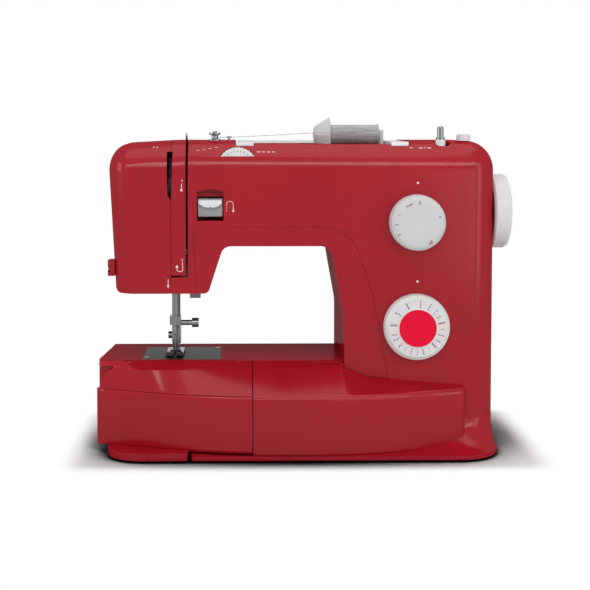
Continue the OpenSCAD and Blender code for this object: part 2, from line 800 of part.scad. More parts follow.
module motor_pulley() {
  color(STEEL) {
    rod_x(108.5, pillar_right - 26, motor_y, motor_z, 3);
    for (x = [-37, -28]) rod_x(pillar_right + x, pillar_right + x + 1, motor_y, motor_z, 9);
    rod_x(pillar_right - 37, pillar_right - 27, motor_y, motor_z, 7);
  }
}

// ---------- needle, hook and presser ----------

crank_pin = [-14.7, shaft_height + 3];
module crank() {
  color(STEEL) difference() {
    union() {
      rod_x(-97, -86, 0, shaft_height, 11);
      rod_x(-97, -89, 0, shaft_height, 19);
      rod_x(-101.2, -96, crank_pin[0], crank_pin[1], 2.5);
    }
    rod_x(-92, -80, 0, shaft_height, shaft_r);
  }
}

module needle_link() {
  bottom = crank_pin[1] - 38;
  color(STEEL) difference() {
    union() {
      rod_x(-101, -97.5, crank_pin[0], crank_pin[1], 5);
      rod_x(-101, -97.5, crank_pin[0], bottom, 5);
      block([-101, crank_pin[0] - 3, bottom], [-97.5, crank_pin[0] + 3, crank_pin[1]]);
    }
    rod_x(-102, -97, crank_pin[0], crank_pin[1], 2.5 + run_gap);
    rod_x(-102, -97, crank_pin[0], bottom, 2.5);
  }
}

module needle_bar_frame() {
  color(GREY) difference() {
    union() {
      block([-123, -8, 141], [-111, -4.2, 258]);
      for (z = [141, 228]) block([-123, -20, z], [-111, -4.2, z + (z > 200 ? 12 : 8)]);
      rod_y(-5, 10, needle[0], 252, 3);
    }
    rod_z(130, 250, needle[0], needle[1], needle_bar_d / 2 + run_gap);
  }
}

module needle_bar() {
  color(STEEL) {
    rod_z(111, 256, needle[0], needle[1], needle_bar_d / 2);
    block([-123, -19, grip_z - 6.5], [-111, -9, grip_z + 6.5]);
    rod_x(-112, -106, -14, grip_z, 2.5);
  }
}

module needle_clamp() {
  color(STEEL) difference() {
    block([-122, -19, 108], [-112, -9, 116]);
    rod_z(111, 120, needle[0], needle[1], needle_bar_d / 2);
    rod_z(100, 112, needle[0], needle[1], 1.1);
    rod_x(-116, -100, needle[1], 109.4, 1);
  }
}

module clamp_screw() {
  color(STEEL) {
    rod_x(-115.8, -111, needle[1], 109.4, 0.98);
    turned_x(-112, needle[1], 109.4, [[0, 0.02], [2.4, 0.02], [2.4, 10], [4.2, 10], [4.2, 16], [0, 16]]);
  }
}

module needle() {
  color(STEEL) turned_z(needle[0], needle[1], 0, [
    [0, 81.5], [0.5, 84.5], [0.5, 98], [1.08, 99.5], [1.08, 110.98], [0, 110.98]
  ]);
}

module presser_bar() {
  color(STEEL) {
    rod_z(100, 238, -needle_left, presser_y, presser_bar_d / 2);
    rod_z(181, 187.7, -needle_left, presser_y, 6.3);
  }
}

module presser_spring() {
  turns = 6;
  color(STEEL) tube([for (i = [0:turns * 12])
    [-needle_left + 5.2 * cos(i * 30), presser_y + 5.2 * sin(i * 30), 188.8 + 35.2 * i / (turns * 12)]], 0.8, 6);
}

module foot_holder() {
  color(STEEL) difference() {
    union() {
      block([-121, -1, 88], [-113, 10, 107]);
      block([-120, -4, 84], [-114, 8, 90]);
    }
    rod_z(100, 110, -needle_left, presser_y, presser_bar_d / 2);
    rod_x(-122, -117, 4.5, 95, 1.5);
  }
}

module thumb_screw() {
  color(STEEL) {
    rod_x(-124.6, -121.02, 4.5, 95, 3.2);
    rod_x(-121.5, -117.05, 4.5, 95, 1.48);
  }
}

module presser_foot() {
  sole = bed_height + 0.45;
  color(STEEL) difference() {
    union() {
      along_x(-124.5, -109.5) polygon([
        [-33, sole + 4.5], [-31, sole + 1.6], [-28, sole], [0, sole], [2, sole + 1], [2, sole + 3], [-28, sole + 2.6], [-32, sole + 5.5]
      ]);
      block([-120, -4, sole + 1], [-114, 2, 83.98]);
    }
    block([needle[0] - 4.8, -18, 70], [needle[0] + 4.8, -10, 90]);
    block([needle[0] - 1.5, -40, 70], [needle[0] + 1.5, -14, 90]);
  }
}

module presser_lifter() {
  y = lifter_axis[0];
  color(DARK) {
    rod_x(-123, -104, y, lifter_axis[1], 3);
    rod_x(-105.6, -98, y, lifter_axis[1], 4);
    block([-105.6, y - 2.5, 130], [-98, y + 2.5, lifter_axis[1]]);
    along_x(-106, -96) polygon(rounded([[y - 2.5, 125, 1], [y + 3.5, 125, 2], [y + 3.5, 131, 2], [y - 2.5, 131, 1]]));
  }
}

module take_up_lever() {
  pivot = [4, 247];
  tip = [-44, 280];
  u = unit(tip - pivot);
  w = [u[1], -u[0]];
  sides = [
    [pivot - 5 * u - 5 * w, 4.6], [pivot - 5 * u + 5 * w, 4.6], [tip - 9 * u + 2.4 * w, 2],
    [tip + 2.4 * w, 2], [tip - 2.4 * w, 2], [tip - 9 * u - 2.4 * w, 2]
  ];
  color(STEEL) {
    difference() {
      along_x(-takeup_left - 0.8, -takeup_left + 0.8) polygon(rounded([for (p = sides) [p[0][0], p[0][1], p[1]]]));
      rod_x(-110, -100, (tip - 3.5 * u)[0], (tip - 3.5 * u)[1], 1);
    }
    rod_x(-takeup_left + 0.7, -88, pivot[0], pivot[1], 3);
  }
}

module hook_race() {
  color(STEEL) difference() {
    union() {
      rod_y(-24, -6, needle[0], hook_z, 20);
      rod_y(-7, plate_front, needle[0], hook_z, 7);
    }
    rod_y(-30, -9, needle[0], hook_z, 18.2);
    rod_y(-10, 14, needle[0], hook_z, 4 + run_gap);
    block([needle[0] - 6, -30, hook_z + 12], [needle[0] + 6, -3, 90]);
  }
}

module shuttle_hook() {
  color(STEEL) difference() {
    union() {
      rod_y(-22, -9.3, needle[0], hook_z, 17.9);
      rod_y(-10, 12, needle[0], hook_z, 4);
    }
    rod_y(-30, -12, needle[0], hook_z, 12.2);
    rod_y(-30, -15, needle[0] + 9, hook_z + 12, 6);
    along_y(-needle_fwd - 1.1, -needle_fwd + 1.1) translate([needle[0], hook_z]) difference() {
      circle(20);
      circle(11.5);
      polygon([[0, 0], [-40, -30], [-40, -40], [40, -40], [40, -30]]);
    }
  }
}

module bobbin_case() {
  color(STEEL) difference() {
    rod_y(-22.4, -12.4, needle[0], hook_z, 11.9);
    rod_y(-30, -13.6, needle[0], hook_z, bobbin_d / 2 + 0.4);
    block([needle[0] - 6, -needle_fwd - 1.1, hook_z + 8], [needle[0] + 6, -needle_fwd + 1.1, hook_z + 20]);
  }
  color(STEEL) rod_y(-21.8, -13, needle[0], hook_z, 2.5);
}

module bobbin() {
  color(WHITE) turned_y(needle[0], 0, hook_z, [
    [2.5 + run_gap, -22], [bobbin_d / 2, -22], [bobbin_d / 2, -21.2], [8, -21.2], [8, -14.8],
    [bobbin_d / 2, -14.8], [bobbin_d / 2, -14], [2.5 + run_gap, -14]
  ]);
}

module feed_dog() {
  top = bed_height - 0.5;
  color(STEEL) difference() {
    union() {
      block([needle[0] - 9, -25, 75], [needle[0] + 9, -1, 77.6]);
      for (dx = [-6.8, 6.8], i = [0:9]) along_x(needle[0] + dx - 1.2, needle[0] + dx + 1.2) polygon([
        [-24.5 + i * 2.2, 77.5], [-22.3 + i * 2.2, 77.5], [-22.3 + i * 2.2, top - 0.8], [-24.5 + i * 2.2, top]
      ]);
    }
    block([needle[0] - 4.8, -18, 70], [needle[0] + 4.8, -10, 90]);
  }
}

// ---------- dials and levers ----------

module stitch_length_dial() {
  r = stitch_d / 2;
  front = -face_front - dial_out;
  color(WHITE) turned_y(dial_x, 0, stitch_z, [
    [0, front + 0.8], [r - 9, front], [r - 4, front + 0.6], [r - 1.2, front + 2.6], [r - 0.2, front + 5.4],
    [r, front + 9], [r, -face_front - 0.4], [dial_shaft_r, -face_front - 0.4], [dial_shaft_r, -29], [0, -29]
  ]);
}

module pattern_dial() {
  r = pattern_d / 2;
  front = -face_front - dial_out + 2;
  color(WHITE) turned_y(dial_x, 0, pattern_z, [
    [0, front], [r - 12.6, front], [r - 12, front + 1], [r - 3.5, front + 1.2], [r - 0.8, front + 3.4],
    [r, front + 6.5], [r, -face_front - 0.4], [dial_shaft_r, -face_front - 0.4], [dial_shaft_r, -17], [0, -17]
  ]);
}

module cam_stack() {
  color(WHITE) difference() {
    union() {
      for (i = [0:3]) along_y(-30 + i * 3.2, -28 + i * 3.2) translate([dial_x, pattern_z]) intersection() {
        circle(18);
        translate([2 - i, i - 1]) circle(17.6);
      }
      rod_y(-30, -17.2, dial_x, pattern_z, 9);
    }
    rod_y(-31, -16, dial_x, pattern_z, dial_shaft_r);
  }
}

module reverse_lever() {
  color(WHITE) {
    along_x(reverse_x - reverse_w / 2, reverse_x + reverse_w / 2) polygon(rounded([
      [-34, 207.5, 2], [-44.6, 207.5, 2], [-46.6, 216, 6], [-46.6, 223.6, 1], [-34, 223.6, 2]
    ]));
    intersection() {
      along_x(reverse_x - reverse_w / 2, reverse_x + reverse_w / 2) polygon(rounded([
        [-44, 212, 0], [-50, 214, 2.5], [-51, 223.6, 2.5], [-44, 223.6, 0]
      ]));
      rod_y(-60, -40, reverse_x, 231.5, 16);
    }
    rod_x(reverse_x - reverse_w / 2 - 3, reverse_x + reverse_w / 2 + 3, reverse_y, reverse_z, 2);
  }
}

module tension_dial() {
  color(WHITE) difference() {
    rod_y(tension_y, tension_y + tension_t, tension_x, tension_z, tension_d / 2);
    rod_y(-60, 0, tension_x, tension_z, 3 + run_gap);
    for (i = [0:35]) translate([tension_x, 0, tension_z]) rotate([0, i * 10, 0]) {
      rod_y(tension_y - 1, tension_y + tension_t + 1, tension_d / 2 + 0.4, 0, 0.8);
    }
  }
}

module tension_discs() {
  color(STEEL) {
    rod_y(tension_y + 0.5, plate_front + 3, tension_x, tension_z, 2.99);
    for (y = [-31, -28.6, -26.2]) turned_y(tension_x, y, tension_z, [[2.9, 0], [8, 0.6], [8, 1.1], [2.9, 0.8]]);
  }
}

// ---------- on top ----------

module handle() {
  color(WHITE) {
    for (x = [-61.8, 75.4]) along_x(x, x + 15.4) polygon(rounded([
      [handle_y - 5.2, handle_z - 5.2, 5.1], [67, handle_z - 4.6, 3],
      [67, handle_z + 6, 4], [handle_y - 5.2, handle_z + 5.6, 3.5]
    ]));
    along_x(-47, 76) polygon(rounded([
      [53, handle_z - 4.4, 3], [67, handle_z - 4.6, 3], [67, handle_z + 6, 4], [53, handle_z + 6, 4]
    ]));
    rod_x(-65, -61, handle_y, handle_z, 2.5);
    rod_x(90, 94, handle_y, handle_z, 2.5);
  }
}

module spool_pin() {
  color(GREY) {
    rod_x(9, 72, spool_y, spool_axis, spool_pin_d / 2);
    block([70.3, spool_y - 5, trough], [73.7, spool_y + 5, spool_axis + 4]);
  }
}

module thread_spool() {
  r = thread_d / 2;
  bore = spool_pin_d / 2 + run_gap;
  color([0.85, 0.2, 0.25]) turned_x(0, spool_y, spool_axis, [
    [bore, 25.6], [r, 25.6], [r, 25.6 + thread_l], [r + 0.8, 25.6 + thread_l], [r + 0.8, 69.4], [bore, 69.4]
  ]);
}

module spool_cap() {
  bore = spool_pin_d / 2 + run_gap;
  color(WHITE) turned_x(0, spool_y, spool_axis, [
    [bore, 9.5], [6, 9.5], [8, 11], [cap_d / 2 - 0.6, 22.6], [cap_d / 2, 23.6], [cap_d / 2 - 1, 24.4], [9, 25.2], [bore, 25.2]
  ]);
}

module pretension_guide() {
  z = top_height;
  color(STEEL) {
    turned_z(-81, -17, z, [
      [0, -3], [2, -3], [2, 0], [5.6, 0], [5.6, 1.2], [3, 2], [3, 4.6], [5.2, 5.6],
      [5.2, 7.2], [2, 7.4], [2, 8.6], [0, 8.6]
    ]);
    turned_z(-68.2, -17, z, [[0, -2], [1.2, -2], [1.2, 2.4], [2.2, 2.4], [2.2, 4], [0, 4]]);
  }
}

module upper_thread() {
  color([0.85, 0.2, 0.25]) tube([
    [50, 8.4, 281], [24.4, 1.4, 281.8], [-20, -8.6, 279.2], [-66, -12.9, 277.1], [-79, -13.55, 277]
  ], 0.3, 6);
}

module winder_arm() {
  color(WHITE) difference() {
    union() {
      rod_z(244, 267, winder_pivot[0], winder_pivot[1], 3);
      rod_z(244, 250, winder_pivot[0], winder_pivot[1], 6);
      block([spindle[0] - 4, spindle[1], 244], [spindle[0] + 4, winder_pivot[1], 250]);
      rod_z(244, 250, spindle[0], spindle[1], 5.5);
      rod_z(249, 275, spindle[0], spindle[1], 4.4);
    }
    rod_z(230, 300, spindle[0], spindle[1], spindle_d / 2 + run_gap);
  }
}

module winder_spindle() {
  color(STEEL) {
    turned_z(spindle[0], spindle[1], 0, [
      [0, 230], [spindle_d / 2, 230], [spindle_d / 2, spindle_top - 1.5], [spindle_d / 2 - 1.2, spindle_top], [0, spindle_top]
    ]);
    rod_z(275.3, 277, spindle[0], spindle[1], 4.2);
    rod_z(231, 237, spindle[0], spindle[1], 6.8);
  }
}

module bobbin_stopper() {
  r = stopper_d / 2;
  color(WHITE) {
    turned_z(141.3, -22, 0, [
      [0, top_height - 8], [3, top_height - 8], [3, top_height], [r, top_height], [r, top_height + 5], [r - 0.8, top_height + 5.8], [0, top_height + 5.8]
    ]);
  }
}

// ---------- electrics ----------

module lamp() {
  color([0.95, 0.93, 0.85]) {
    turned_z(-147, 0, 0, [[0, 150], [5, 152], [7.5, 157], [7.5, 163], [4.6, 171], [4.6, 176], [0, 176]]);
    block([-154, -7, 175.9], [-140, 7, 190]);
    block([-141, -7, 182], [-135, 7, 188]);
    block([-136, -7, 182], [-130, plate_back, 188]);
    block([-131, plate_front, 182], [-124, plate_back, 188]);
  }
}

module power_inlet() {
  x = pillar_right;
  color(DARK) difference() {
    block([x - 18, -2.5, 43.5], [x + 0.5, 34.5, 94.5]);
    block([x - 14, 2, 46], [x + 2, 30, 66]);
    block([x - 12, 4, 70], [x + 2, 28, 92]);
    rod_y(1, 31, x - 5, 81, 1.5 + run_gap);
  }
  color(DARK) for (y = [9, 16, 23]) block([x - 14.5, y - 1, 54], [x - 3, y + 1, 58]);
}

module power_switch() {
  x = pillar_right;
  color(WHITE) {
    along_y(4.4, 27.6) polygon([[x - 9, 78], [x - 5, 75], [x - 1, 71.4], [x + 0.6, 72], [x - 0.8, 81], [x + 2.6, 90], [x + 1, 91], [x - 5, 87], [x - 9, 84]]);
    rod_y(1.5, 30.5, x - 5, 81, 1.5);
  }
}

// ---------- what is drawn ----------

base_tray();
rubber_feet();
front_cover();
rear_cover();
face_cover();
free_arm_cover();
cover_screws();
thread_cutter();
needle_plate();
plate_screws();
cast_frame();
shaft_bushings();
main_shaft();
crank();
needle_link();
handwheel();
drive_belt();
motor();
motor_pulley();
timing_belt();
lower_shaft();
hook_race();
shuttle_hook();
bobbin_case();
bobbin();
hook_cover();
feed_dog();
needle_bar_frame();
needle_bar();
needle_clamp();
clamp_screw();
needle();
presser_bar();
presser_spring();
foot_holder();
presser_foot();
thumb_screw();
presser_lifter();
take_up_lever();
tension_dial();
tension_discs();
stitch_length_dial();
pattern_dial();
cam_stack();
reverse_lever();
handle();
spool_pin();
thread_spool();
spool_cap();
pretension_guide();
upper_thread();
winder_arm();
winder_spindle();
bobbin_stopper();
extension_table();
table_foot();
storage_lid();
lamp();
power_inlet();
power_switch();
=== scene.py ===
import math

import bmesh
import bpy
from mathutils import Matrix, Vector
from mathutils.bvhtree import BVHTree


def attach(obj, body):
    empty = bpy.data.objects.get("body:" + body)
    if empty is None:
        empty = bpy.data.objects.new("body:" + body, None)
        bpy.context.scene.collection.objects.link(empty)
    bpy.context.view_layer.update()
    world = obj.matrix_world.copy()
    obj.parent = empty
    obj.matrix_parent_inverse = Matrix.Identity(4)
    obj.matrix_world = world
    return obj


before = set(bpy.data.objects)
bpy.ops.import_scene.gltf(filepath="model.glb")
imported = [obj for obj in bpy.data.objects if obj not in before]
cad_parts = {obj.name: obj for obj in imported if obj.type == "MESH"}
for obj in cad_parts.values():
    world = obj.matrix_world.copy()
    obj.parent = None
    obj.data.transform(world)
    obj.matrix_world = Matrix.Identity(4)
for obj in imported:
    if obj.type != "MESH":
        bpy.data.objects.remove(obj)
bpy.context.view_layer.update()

bl_info = {
    "name": "Free-arm sewing machine",
    "version": (1, 0, 0),
    "blender": (4, 5, 0),
    "location": "View3D > Sidebar > Sewing Machine",
    "description": "Dresses the sewing machine: housing, dials, steelwork, thread and stage",
    "category": "Object",
}

MM = 0.001

# How far the camera turns right, the width of the picture it fills, and where the
# point straight ahead of the level, unturned camera falls in it
YAW = math.radians(0.8)
PICTURE_PX = 590
AIM_X_PX, AIM_Y_PX = 245, 125
SENSOR_MM = 36.0

WORLD_LIGHT = 0.22
FLOOR_HALF_WIDTH = 6.0
# Reach of the floor's painted contact shade: its colour darkens where the machine occludes it
PAINTED_SHADE_REACH = 0.1

# Half width and half depth of the machine, and how far beyond them the floor turns white
FOOTPRINT = (0.185, 0.085, 0)
SHADOW_FROM, SHADOW_TO = 0.002, 0.03

# Name, place, aim, size and power of each lamp
LAMPS = (
    ("front", (0.1, -1.0, 0.74), (0, 0, 0.16), (1.5, 0.16), 5.4),
    ("top", (0.1, -0.05, 1.35), (0, 0, 0.05), (1.6, 1.1), 9.5),
    ("right", (1.0, -0.75, 0.35), (0, 0, 0.16), (0.35, 0.8), 2.4),
    ("left", (-1.1, -0.35, 0.45), (0, 0, 0.14), (0.5, 0.5), 3.4),
    ("low", (0.62, -1.25, 0.12), (0.1, 0, 0.15), (0.6, 0.5), 1.4),
)

# Middles of the dials and of the reverse lever, in mm
DIAL_X = 96.5
STITCH_Z = 202.9
PATTERN_Z = 111.1
TENSION_X, TENSION_Z = -60.6, 250.7
LEVER_X = -84.4

# Rings on the dials: the pattern dial's red middle and its signs, and the tension ticks
MIDDLE_RADIUS = 16.3
SIGN_RADIUS = 21.0
TICK_IN, TICK_OUT = 13.4, 15.2

# Left end of the wound thread, its length and radius, and the radius of the thread itself
SPOOL_X, SPOOL_Y, SPOOL_Z = 25.8, 18.0, 279.2
WOUND_LENGTH, WOUND_RADIUS = 41.6, 8.75
THREAD_RADIUS = 0.26

# Ink films: how thick, how deep they start in the part, and their longest edge, in mm
INK_FILM = 0.06
INK_SUNK = 0.02
INK_EDGE = 1.2
IN_FRONT = -0.3

# Edges turning by more than this stay sharp, and points closer than this are welded
SHARP_ABOVE = math.radians(24)
WELD = 0.00002

# The part of a noise's range that the finishes spread over their two ends
NOISE_LOW, NOISE_HIGH = 0.35, 0.65

INK_GREY = (0.10, 0.11, 0.11)

RED_HOUSING = ("front_cover", "rear_cover", "face_cover", "free_arm_cover",
               "extension_table", "storage_lid", "base_tray", "thread_cutter")
PALE_PLASTIC = ("handwheel", "pattern_dial", "tension_dial", "handle", "power_switch",
                "cam_stack", "winder_arm", "hook_cover", "bobbin")
DIAL_PLASTIC = ("stitch_length_dial", "spool_pin")
CLEAR_PLASTIC = ("spool_cap", "bobbin_stopper")
GREY_PLASTIC = ("reverse_lever", "presser_lifter")
DARK_PLASTIC = ("power_inlet", "motor")
POLISHED = ("needle_bar", "needle", "presser_bar", "take_up_lever", "presser_foot",
            "clamp_screw", "thumb_screw", "needle_clamp", "foot_holder", "pretension_guide",
            "winder_spindle")
GROUND_STEEL = ("main_shaft", "lower_shaft", "crank", "needle_link", "hook_race", "shuttle_hook",
                "bobbin_case", "feed_dog", "tension_discs", "presser_spring", "motor_pulley",
                "cover_screws", "plate_screws")
CAST_METAL = ("cast_frame", "needle_bar_frame")
RUBBER = ("rubber_feet", "table_foot", "drive_belt", "timing_belt")


# ---------------------------------------------------------------- settings

class HousingSettings(bpy.types.PropertyGroup):
    colour: bpy.props.FloatVectorProperty(
        name="Housing red", description="Colour of the moulded housing", subtype="COLOR",
        size=3, min=0, max=1, default=(0.335, 0.0065, 0.0155))
    roughness: bpy.props.FloatProperty(
        name="Gloss blur", description="How blurred the housing's gloss is", min=0, max=1,
        default=0.17)
    grain_depth: bpy.props.FloatProperty(
        name="Grain depth", description="Depth of the moulded skin", min=0, max=0.001,
        default=0.00002, unit="LENGTH", precision=6)


class TrimSettings(bpy.types.PropertyGroup):
    pale: bpy.props.FloatVectorProperty(
        name="Pale plastic", description="Colour of dials, handwheel and handle", subtype="COLOR",
        size=3, min=0, max=1, default=(0.67, 0.675, 0.67))
    accent: bpy.props.FloatVectorProperty(
        name="Dial red", description="Colour of the pattern dial's middle", subtype="COLOR",
        size=3, min=0, max=1, default=(0.74, 0.004, 0.036))
    print_white: bpy.props.FloatVectorProperty(
        name="Print white", description="Colour of the printed marks", subtype="COLOR",
        size=3, min=0, max=1, default=(0.80, 0.72, 0.73))


class ThreadSettings(bpy.types.PropertyGroup):
    colour: bpy.props.FloatVectorProperty(
        name="Thread grey", description="Colour of the sewing thread", subtype="COLOR",
        size=3, min=0, max=1, default=(0.38, 0.385, 0.39))
    turns: bpy.props.IntProperty(
        name="Turns", description="Turns of thread that show on the spool", min=10, max=200,
        default=90)


class StageSettings(bpy.types.PropertyGroup):
    distance: bpy.props.FloatProperty(
        name="Camera distance", description="From the camera to the middle of the machine",
        default=1.085, unit="LENGTH")
    pitch: bpy.props.FloatProperty(
        name="Camera pitch", description="How far the camera looks down",
        default=math.radians(3.0), subtype="ANGLE")
    focal_px: bpy.props.FloatProperty(
        name="Focal length", description="Focal length in pixels of a picture 590 wide",
        default=1190.0)


# ---------------------------------------------------------------- shader groups

def new_group(name, inputs, outputs):
    """A shader group with float inputs {name: default} and [(name, type)] outputs."""
    group = bpy.data.node_groups.new(name, "ShaderNodeTree")
    for label, value in inputs.items():
        socket = group.interface.new_socket(label, in_out="INPUT", socket_type="NodeSocketFloat")
        socket.default_value = value
    for label, kind in outputs:
        group.interface.new_socket(label, in_out="OUTPUT", socket_type=kind)
    return group, group.nodes.new("NodeGroupInput"), group.nodes.new("NodeGroupOutput")


def build_skin_group():
    """Moulded skin: a fine even grain, and a slow drift in tone across the part."""
    group, given, result = new_group(
        "Moulded skin", {"Grain scale": 1400.0, "Drift scale": 9.0},
        [("Grain", "NodeSocketFloat"), ("Drift", "NodeSocketFloat")])
    place = group.nodes.new("ShaderNodeTexCoord")
    for label, socket, detail in (("Grain", "Grain scale", 2.0), ("Drift", "Drift scale", 3.0)):
        noise = group.nodes.new("ShaderNodeTexNoise")
        noise.inputs["Detail"].default_value = detail
        group.links.new(place.outputs["Object"], noise.inputs["Vector"])
        group.links.new(given.outputs[socket], noise.inputs["Scale"])
        group.links.new(noise.outputs["Fac"], result.inputs[label])
    return group


def build_brush_group():
    """Brushed metal: fine lines along one axis, and faint smudges."""
    group, given, result = new_group(
        "Brushed lines", {"Across": 900.0, "Along": 30.0},
        [("Lines", "NodeSocketFloat"), ("Smudge", "NodeSocketFloat")])
    place = group.nodes.new("ShaderNodeTexCoord")
    stretch = group.nodes.new("ShaderNodeCombineXYZ")
    for axis, label in zip("XYZ", ("Along", "Across", "Across")):
        group.links.new(given.outputs[label], stretch.inputs[axis])
    times = group.nodes.new("ShaderNodeVectorMath")
    times.operation = "MULTIPLY"
    group.links.new(place.outputs["Object"], times.inputs[0])
    group.links.new(stretch.outputs["Vector"], times.inputs[1])
    lines = group.nodes.new("ShaderNodeTexNoise")
    lines.inputs["Scale"].default_value = 1.0
    lines.inputs["Detail"].default_value = 3.0
    group.links.new(times.outputs["Vector"], lines.inputs["Vector"])
    group.links.new(lines.outputs["Fac"], result.inputs["Lines"])
    smudge = group.nodes.new("ShaderNodeTexNoise")
    smudge.inputs["Scale"].default_value = 55.0
    smudge.inputs["Detail"].default_value = 4.0
    group.links.new(place.outputs["Object"], smudge.inputs["Vector"])
    group.links.new(smudge.outputs["Fac"], result.inputs["Smudge"])
    return group


def group_named(name, build):
    """The group of that name, built the first time it is asked for."""
    return bpy.data.node_groups.get(name) or build()


# ---------------------------------------------------------------- materials

class Finish:
    """A material whose colour, roughness and bump are driven by one of the groups."""

    def __init__(self, name, group, **sockets):
        self.material = bpy.data.materials.new(name)
        self.material.use_nodes = True
        self.tree = self.material.node_tree
        self.shader = self.tree.nodes["Principled BSDF"]
        for label, value in sockets.items():
            self.shader.inputs[label.replace("_", " ")].default_value = value
        self.group = self.tree.nodes.new("ShaderNodeGroup")
        self.group.node_tree = group

    def ramp(self, output, low, high):
        """The middle range of a group's output, drawn out from low to high."""
        ramp = self.tree.nodes.new("ShaderNodeMapRange")
        ramp.inputs["From Min"].default_value = NOISE_LOW
        ramp.inputs["From Max"].default_value = NOISE_HIGH
        ramp.inputs["To Min"].default_value = low
        ramp.inputs["To Max"].default_value = high
        self.tree.links.new(self.group.outputs[output], ramp.inputs["Value"])
        return ramp.outputs["Result"]

    def tone(self, output, first, second):
        """Base colour, drifting between two colours."""
        mix = self.tree.nodes.new("ShaderNodeMix")
        mix.data_type = "RGBA"
        mix.inputs[6].default_value = (*first, 1)
        mix.inputs[7].default_value = (*second, 1)
        self.tree.links.new(self.ramp(output, 0, 1), mix.inputs[0])
        self.tree.links.new(mix.outputs[2], self.shader.inputs["Base Color"])
        return self

    def dullness(self, output, low, high):
        """Roughness, drifting between two values."""
        self.tree.links.new(self.ramp(output, low, high), self.shader.inputs["Roughness"])
        return self

    def relief(self, output, depth, strength=1.0):
        """A bump of that depth in metres."""
        bump = self.tree.nodes.new("ShaderNodeBump")
        bump.inputs["Distance"].default_value = depth
        bump.inputs["Strength"].default_value = strength
        self.tree.links.new(self.group.outputs[output], bump.inputs["Height"])
        self.tree.links.new(bump.outputs["Normal"], self.shader.inputs["Normal"])
        return self


def scaled(colour, factor):
    return tuple(min(1.0, c * factor) for c in colour)


def plastic(name, colour, roughness, depth=0.00001, gloss=0.07, blur=0.16, **sockets):
    """Moulded plastic: its own colour under a thin gloss, with a fine skin and a little drift."""
    skin = group_named("Moulded skin", build_skin_group)
    made = Finish(name, skin, Specular_IOR_Level=0.0, Coat_Weight=gloss, Coat_IOR=3.0,
                  Coat_Roughness=blur, **sockets)
    made.tone("Drift", scaled(colour, 0.95), scaled(colour, 1.05))
    made.dullness("Drift", roughness * 0.9, roughness * 1.12)
    return made.relief("Grain", depth).material


def metal(name, colour, low, high, depth=0.000004, **sockets):
    """Bare metal with brushed lines and faint smudges."""
    brush = group_named("Brushed lines", build_brush_group)
    made = Finish(name, brush, Metallic=1.0, **sockets)
    made.tone("Smudge", scaled(colour, 0.92), scaled(colour, 1.06))
    made.dullness("Smudge", low, high)
    return made.relief("Lines", depth, 0.6).material


# ---------------------------------------------------------------- mesh helpers

def build_smooth_tree():
    """Welds a moulding and rounds its shading, with edges over the angle kept sharp."""
    tree = bpy.data.node_groups.new("Weld and smooth", "GeometryNodeTree")
    tree.interface.new_socket("Geometry", in_out="INPUT", socket_type="NodeSocketGeometry")
    angle = tree.interface.new_socket("Sharp above", in_out="INPUT", socket_type="NodeSocketFloat")
    angle.default_value = SHARP_ABOVE
    tree.interface.new_socket("Material", in_out="INPUT", socket_type="NodeSocketMaterial")
    tree.interface.new_socket("Geometry", in_out="OUTPUT", socket_type="NodeSocketGeometry")
    given = tree.nodes.new("NodeGroupInput")
    tree.nodes.new("NodeGroupOutput")
    weld = tree.nodes.new("GeometryNodeMergeByDistance")
    weld.inputs["Distance"].default_value = WELD
    faces = tree.nodes.new("GeometryNodeSetShadeSmooth")
    edges = tree.nodes.new("GeometryNodeSetShadeSmooth")
    edges.domain = "EDGE"
    edges.inputs["Shade Smooth"].default_value = False
    turn = tree.nodes.new("GeometryNodeInputMeshEdgeAngle")
    sharp = tree.nodes.new("FunctionNodeCompare")
    sharp.data_type = "FLOAT"
    sharp.operation = "GREATER_THAN"
    link = tree.links.new
    link(given.outputs["Geometry"], weld.inputs["Geometry"])
    link(weld.outputs["Geometry"], faces.inputs["Geometry"])
    link(faces.outputs["Geometry"], edges.inputs["Geometry"])
    link(turn.outputs["Unsigned Angle"], sharp.inputs[0])
    link(given.outputs["Sharp above"], sharp.inputs[1])
    link(sharp.outputs["Result"], edges.inputs["Selection"])
    finish_tree(tree, edges.outputs["Geometry"])
    return tree


def finish_tree(tree, geometry):
    """Ends a geometry tree: instances made real, and its material set."""
    real = tree.nodes.new("GeometryNodeRealizeInstances")
    paint = tree.nodes.new("GeometryNodeSetMaterial")
    given = next(n for n in tree.nodes if n.bl_idname == "NodeGroupInput")
    result = next(n for n in tree.nodes if n.bl_idname == "NodeGroupOutput")
    tree.links.new(geometry, real.inputs["Geometry"])
    tree.links.new(real.outputs["Geometry"], paint.inputs["Geometry"])
    tree.links.new(given.outputs["Material"], paint.inputs["Material"])
    tree.links.new(paint.outputs["Geometry"], result.inputs["Geometry"])


def dress(names, material):
    """Gives CAD nodes their material and smooth shading."""
    tree = group_named("Weld and smooth", build_smooth_tree)
    items = tree.interface.items_tree
    for name in names:
        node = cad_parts[name]
        node.data.materials.clear()
        node.data.materials.append(material)
        smooth = node.modifiers.new("Smooth", "NODES")
        smooth.node_group = tree
        smooth[items["Sharp above"].identifier] = SHARP_ABOVE
        smooth[items["Material"].identifier] = material
        weigh = node.modifiers.new("Weigh normals", "WEIGHTED_NORMAL")
        weigh.keep_sharp = True


def add_piece(name, mesh, material, body):
    """Puts a finished mesh into the scene, riding on a body."""
    piece = bpy.data.objects.new(name, mesh)
    bpy.context.scene.collection.objects.link(piece)
    mesh.materials.clear()
    mesh.materials.append(material)
    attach(piece, body)


def plain_mesh(carrier):
    """The plain mesh of a carrier as it is evaluated; the carrier goes."""
    depsgraph = bpy.context.evaluated_depsgraph_get()
    mesh = bpy.data.meshes.new_from_object(carrier.evaluated_get(depsgraph), depsgraph=depsgraph)
    bpy.data.objects.remove(carrier)
    return mesh


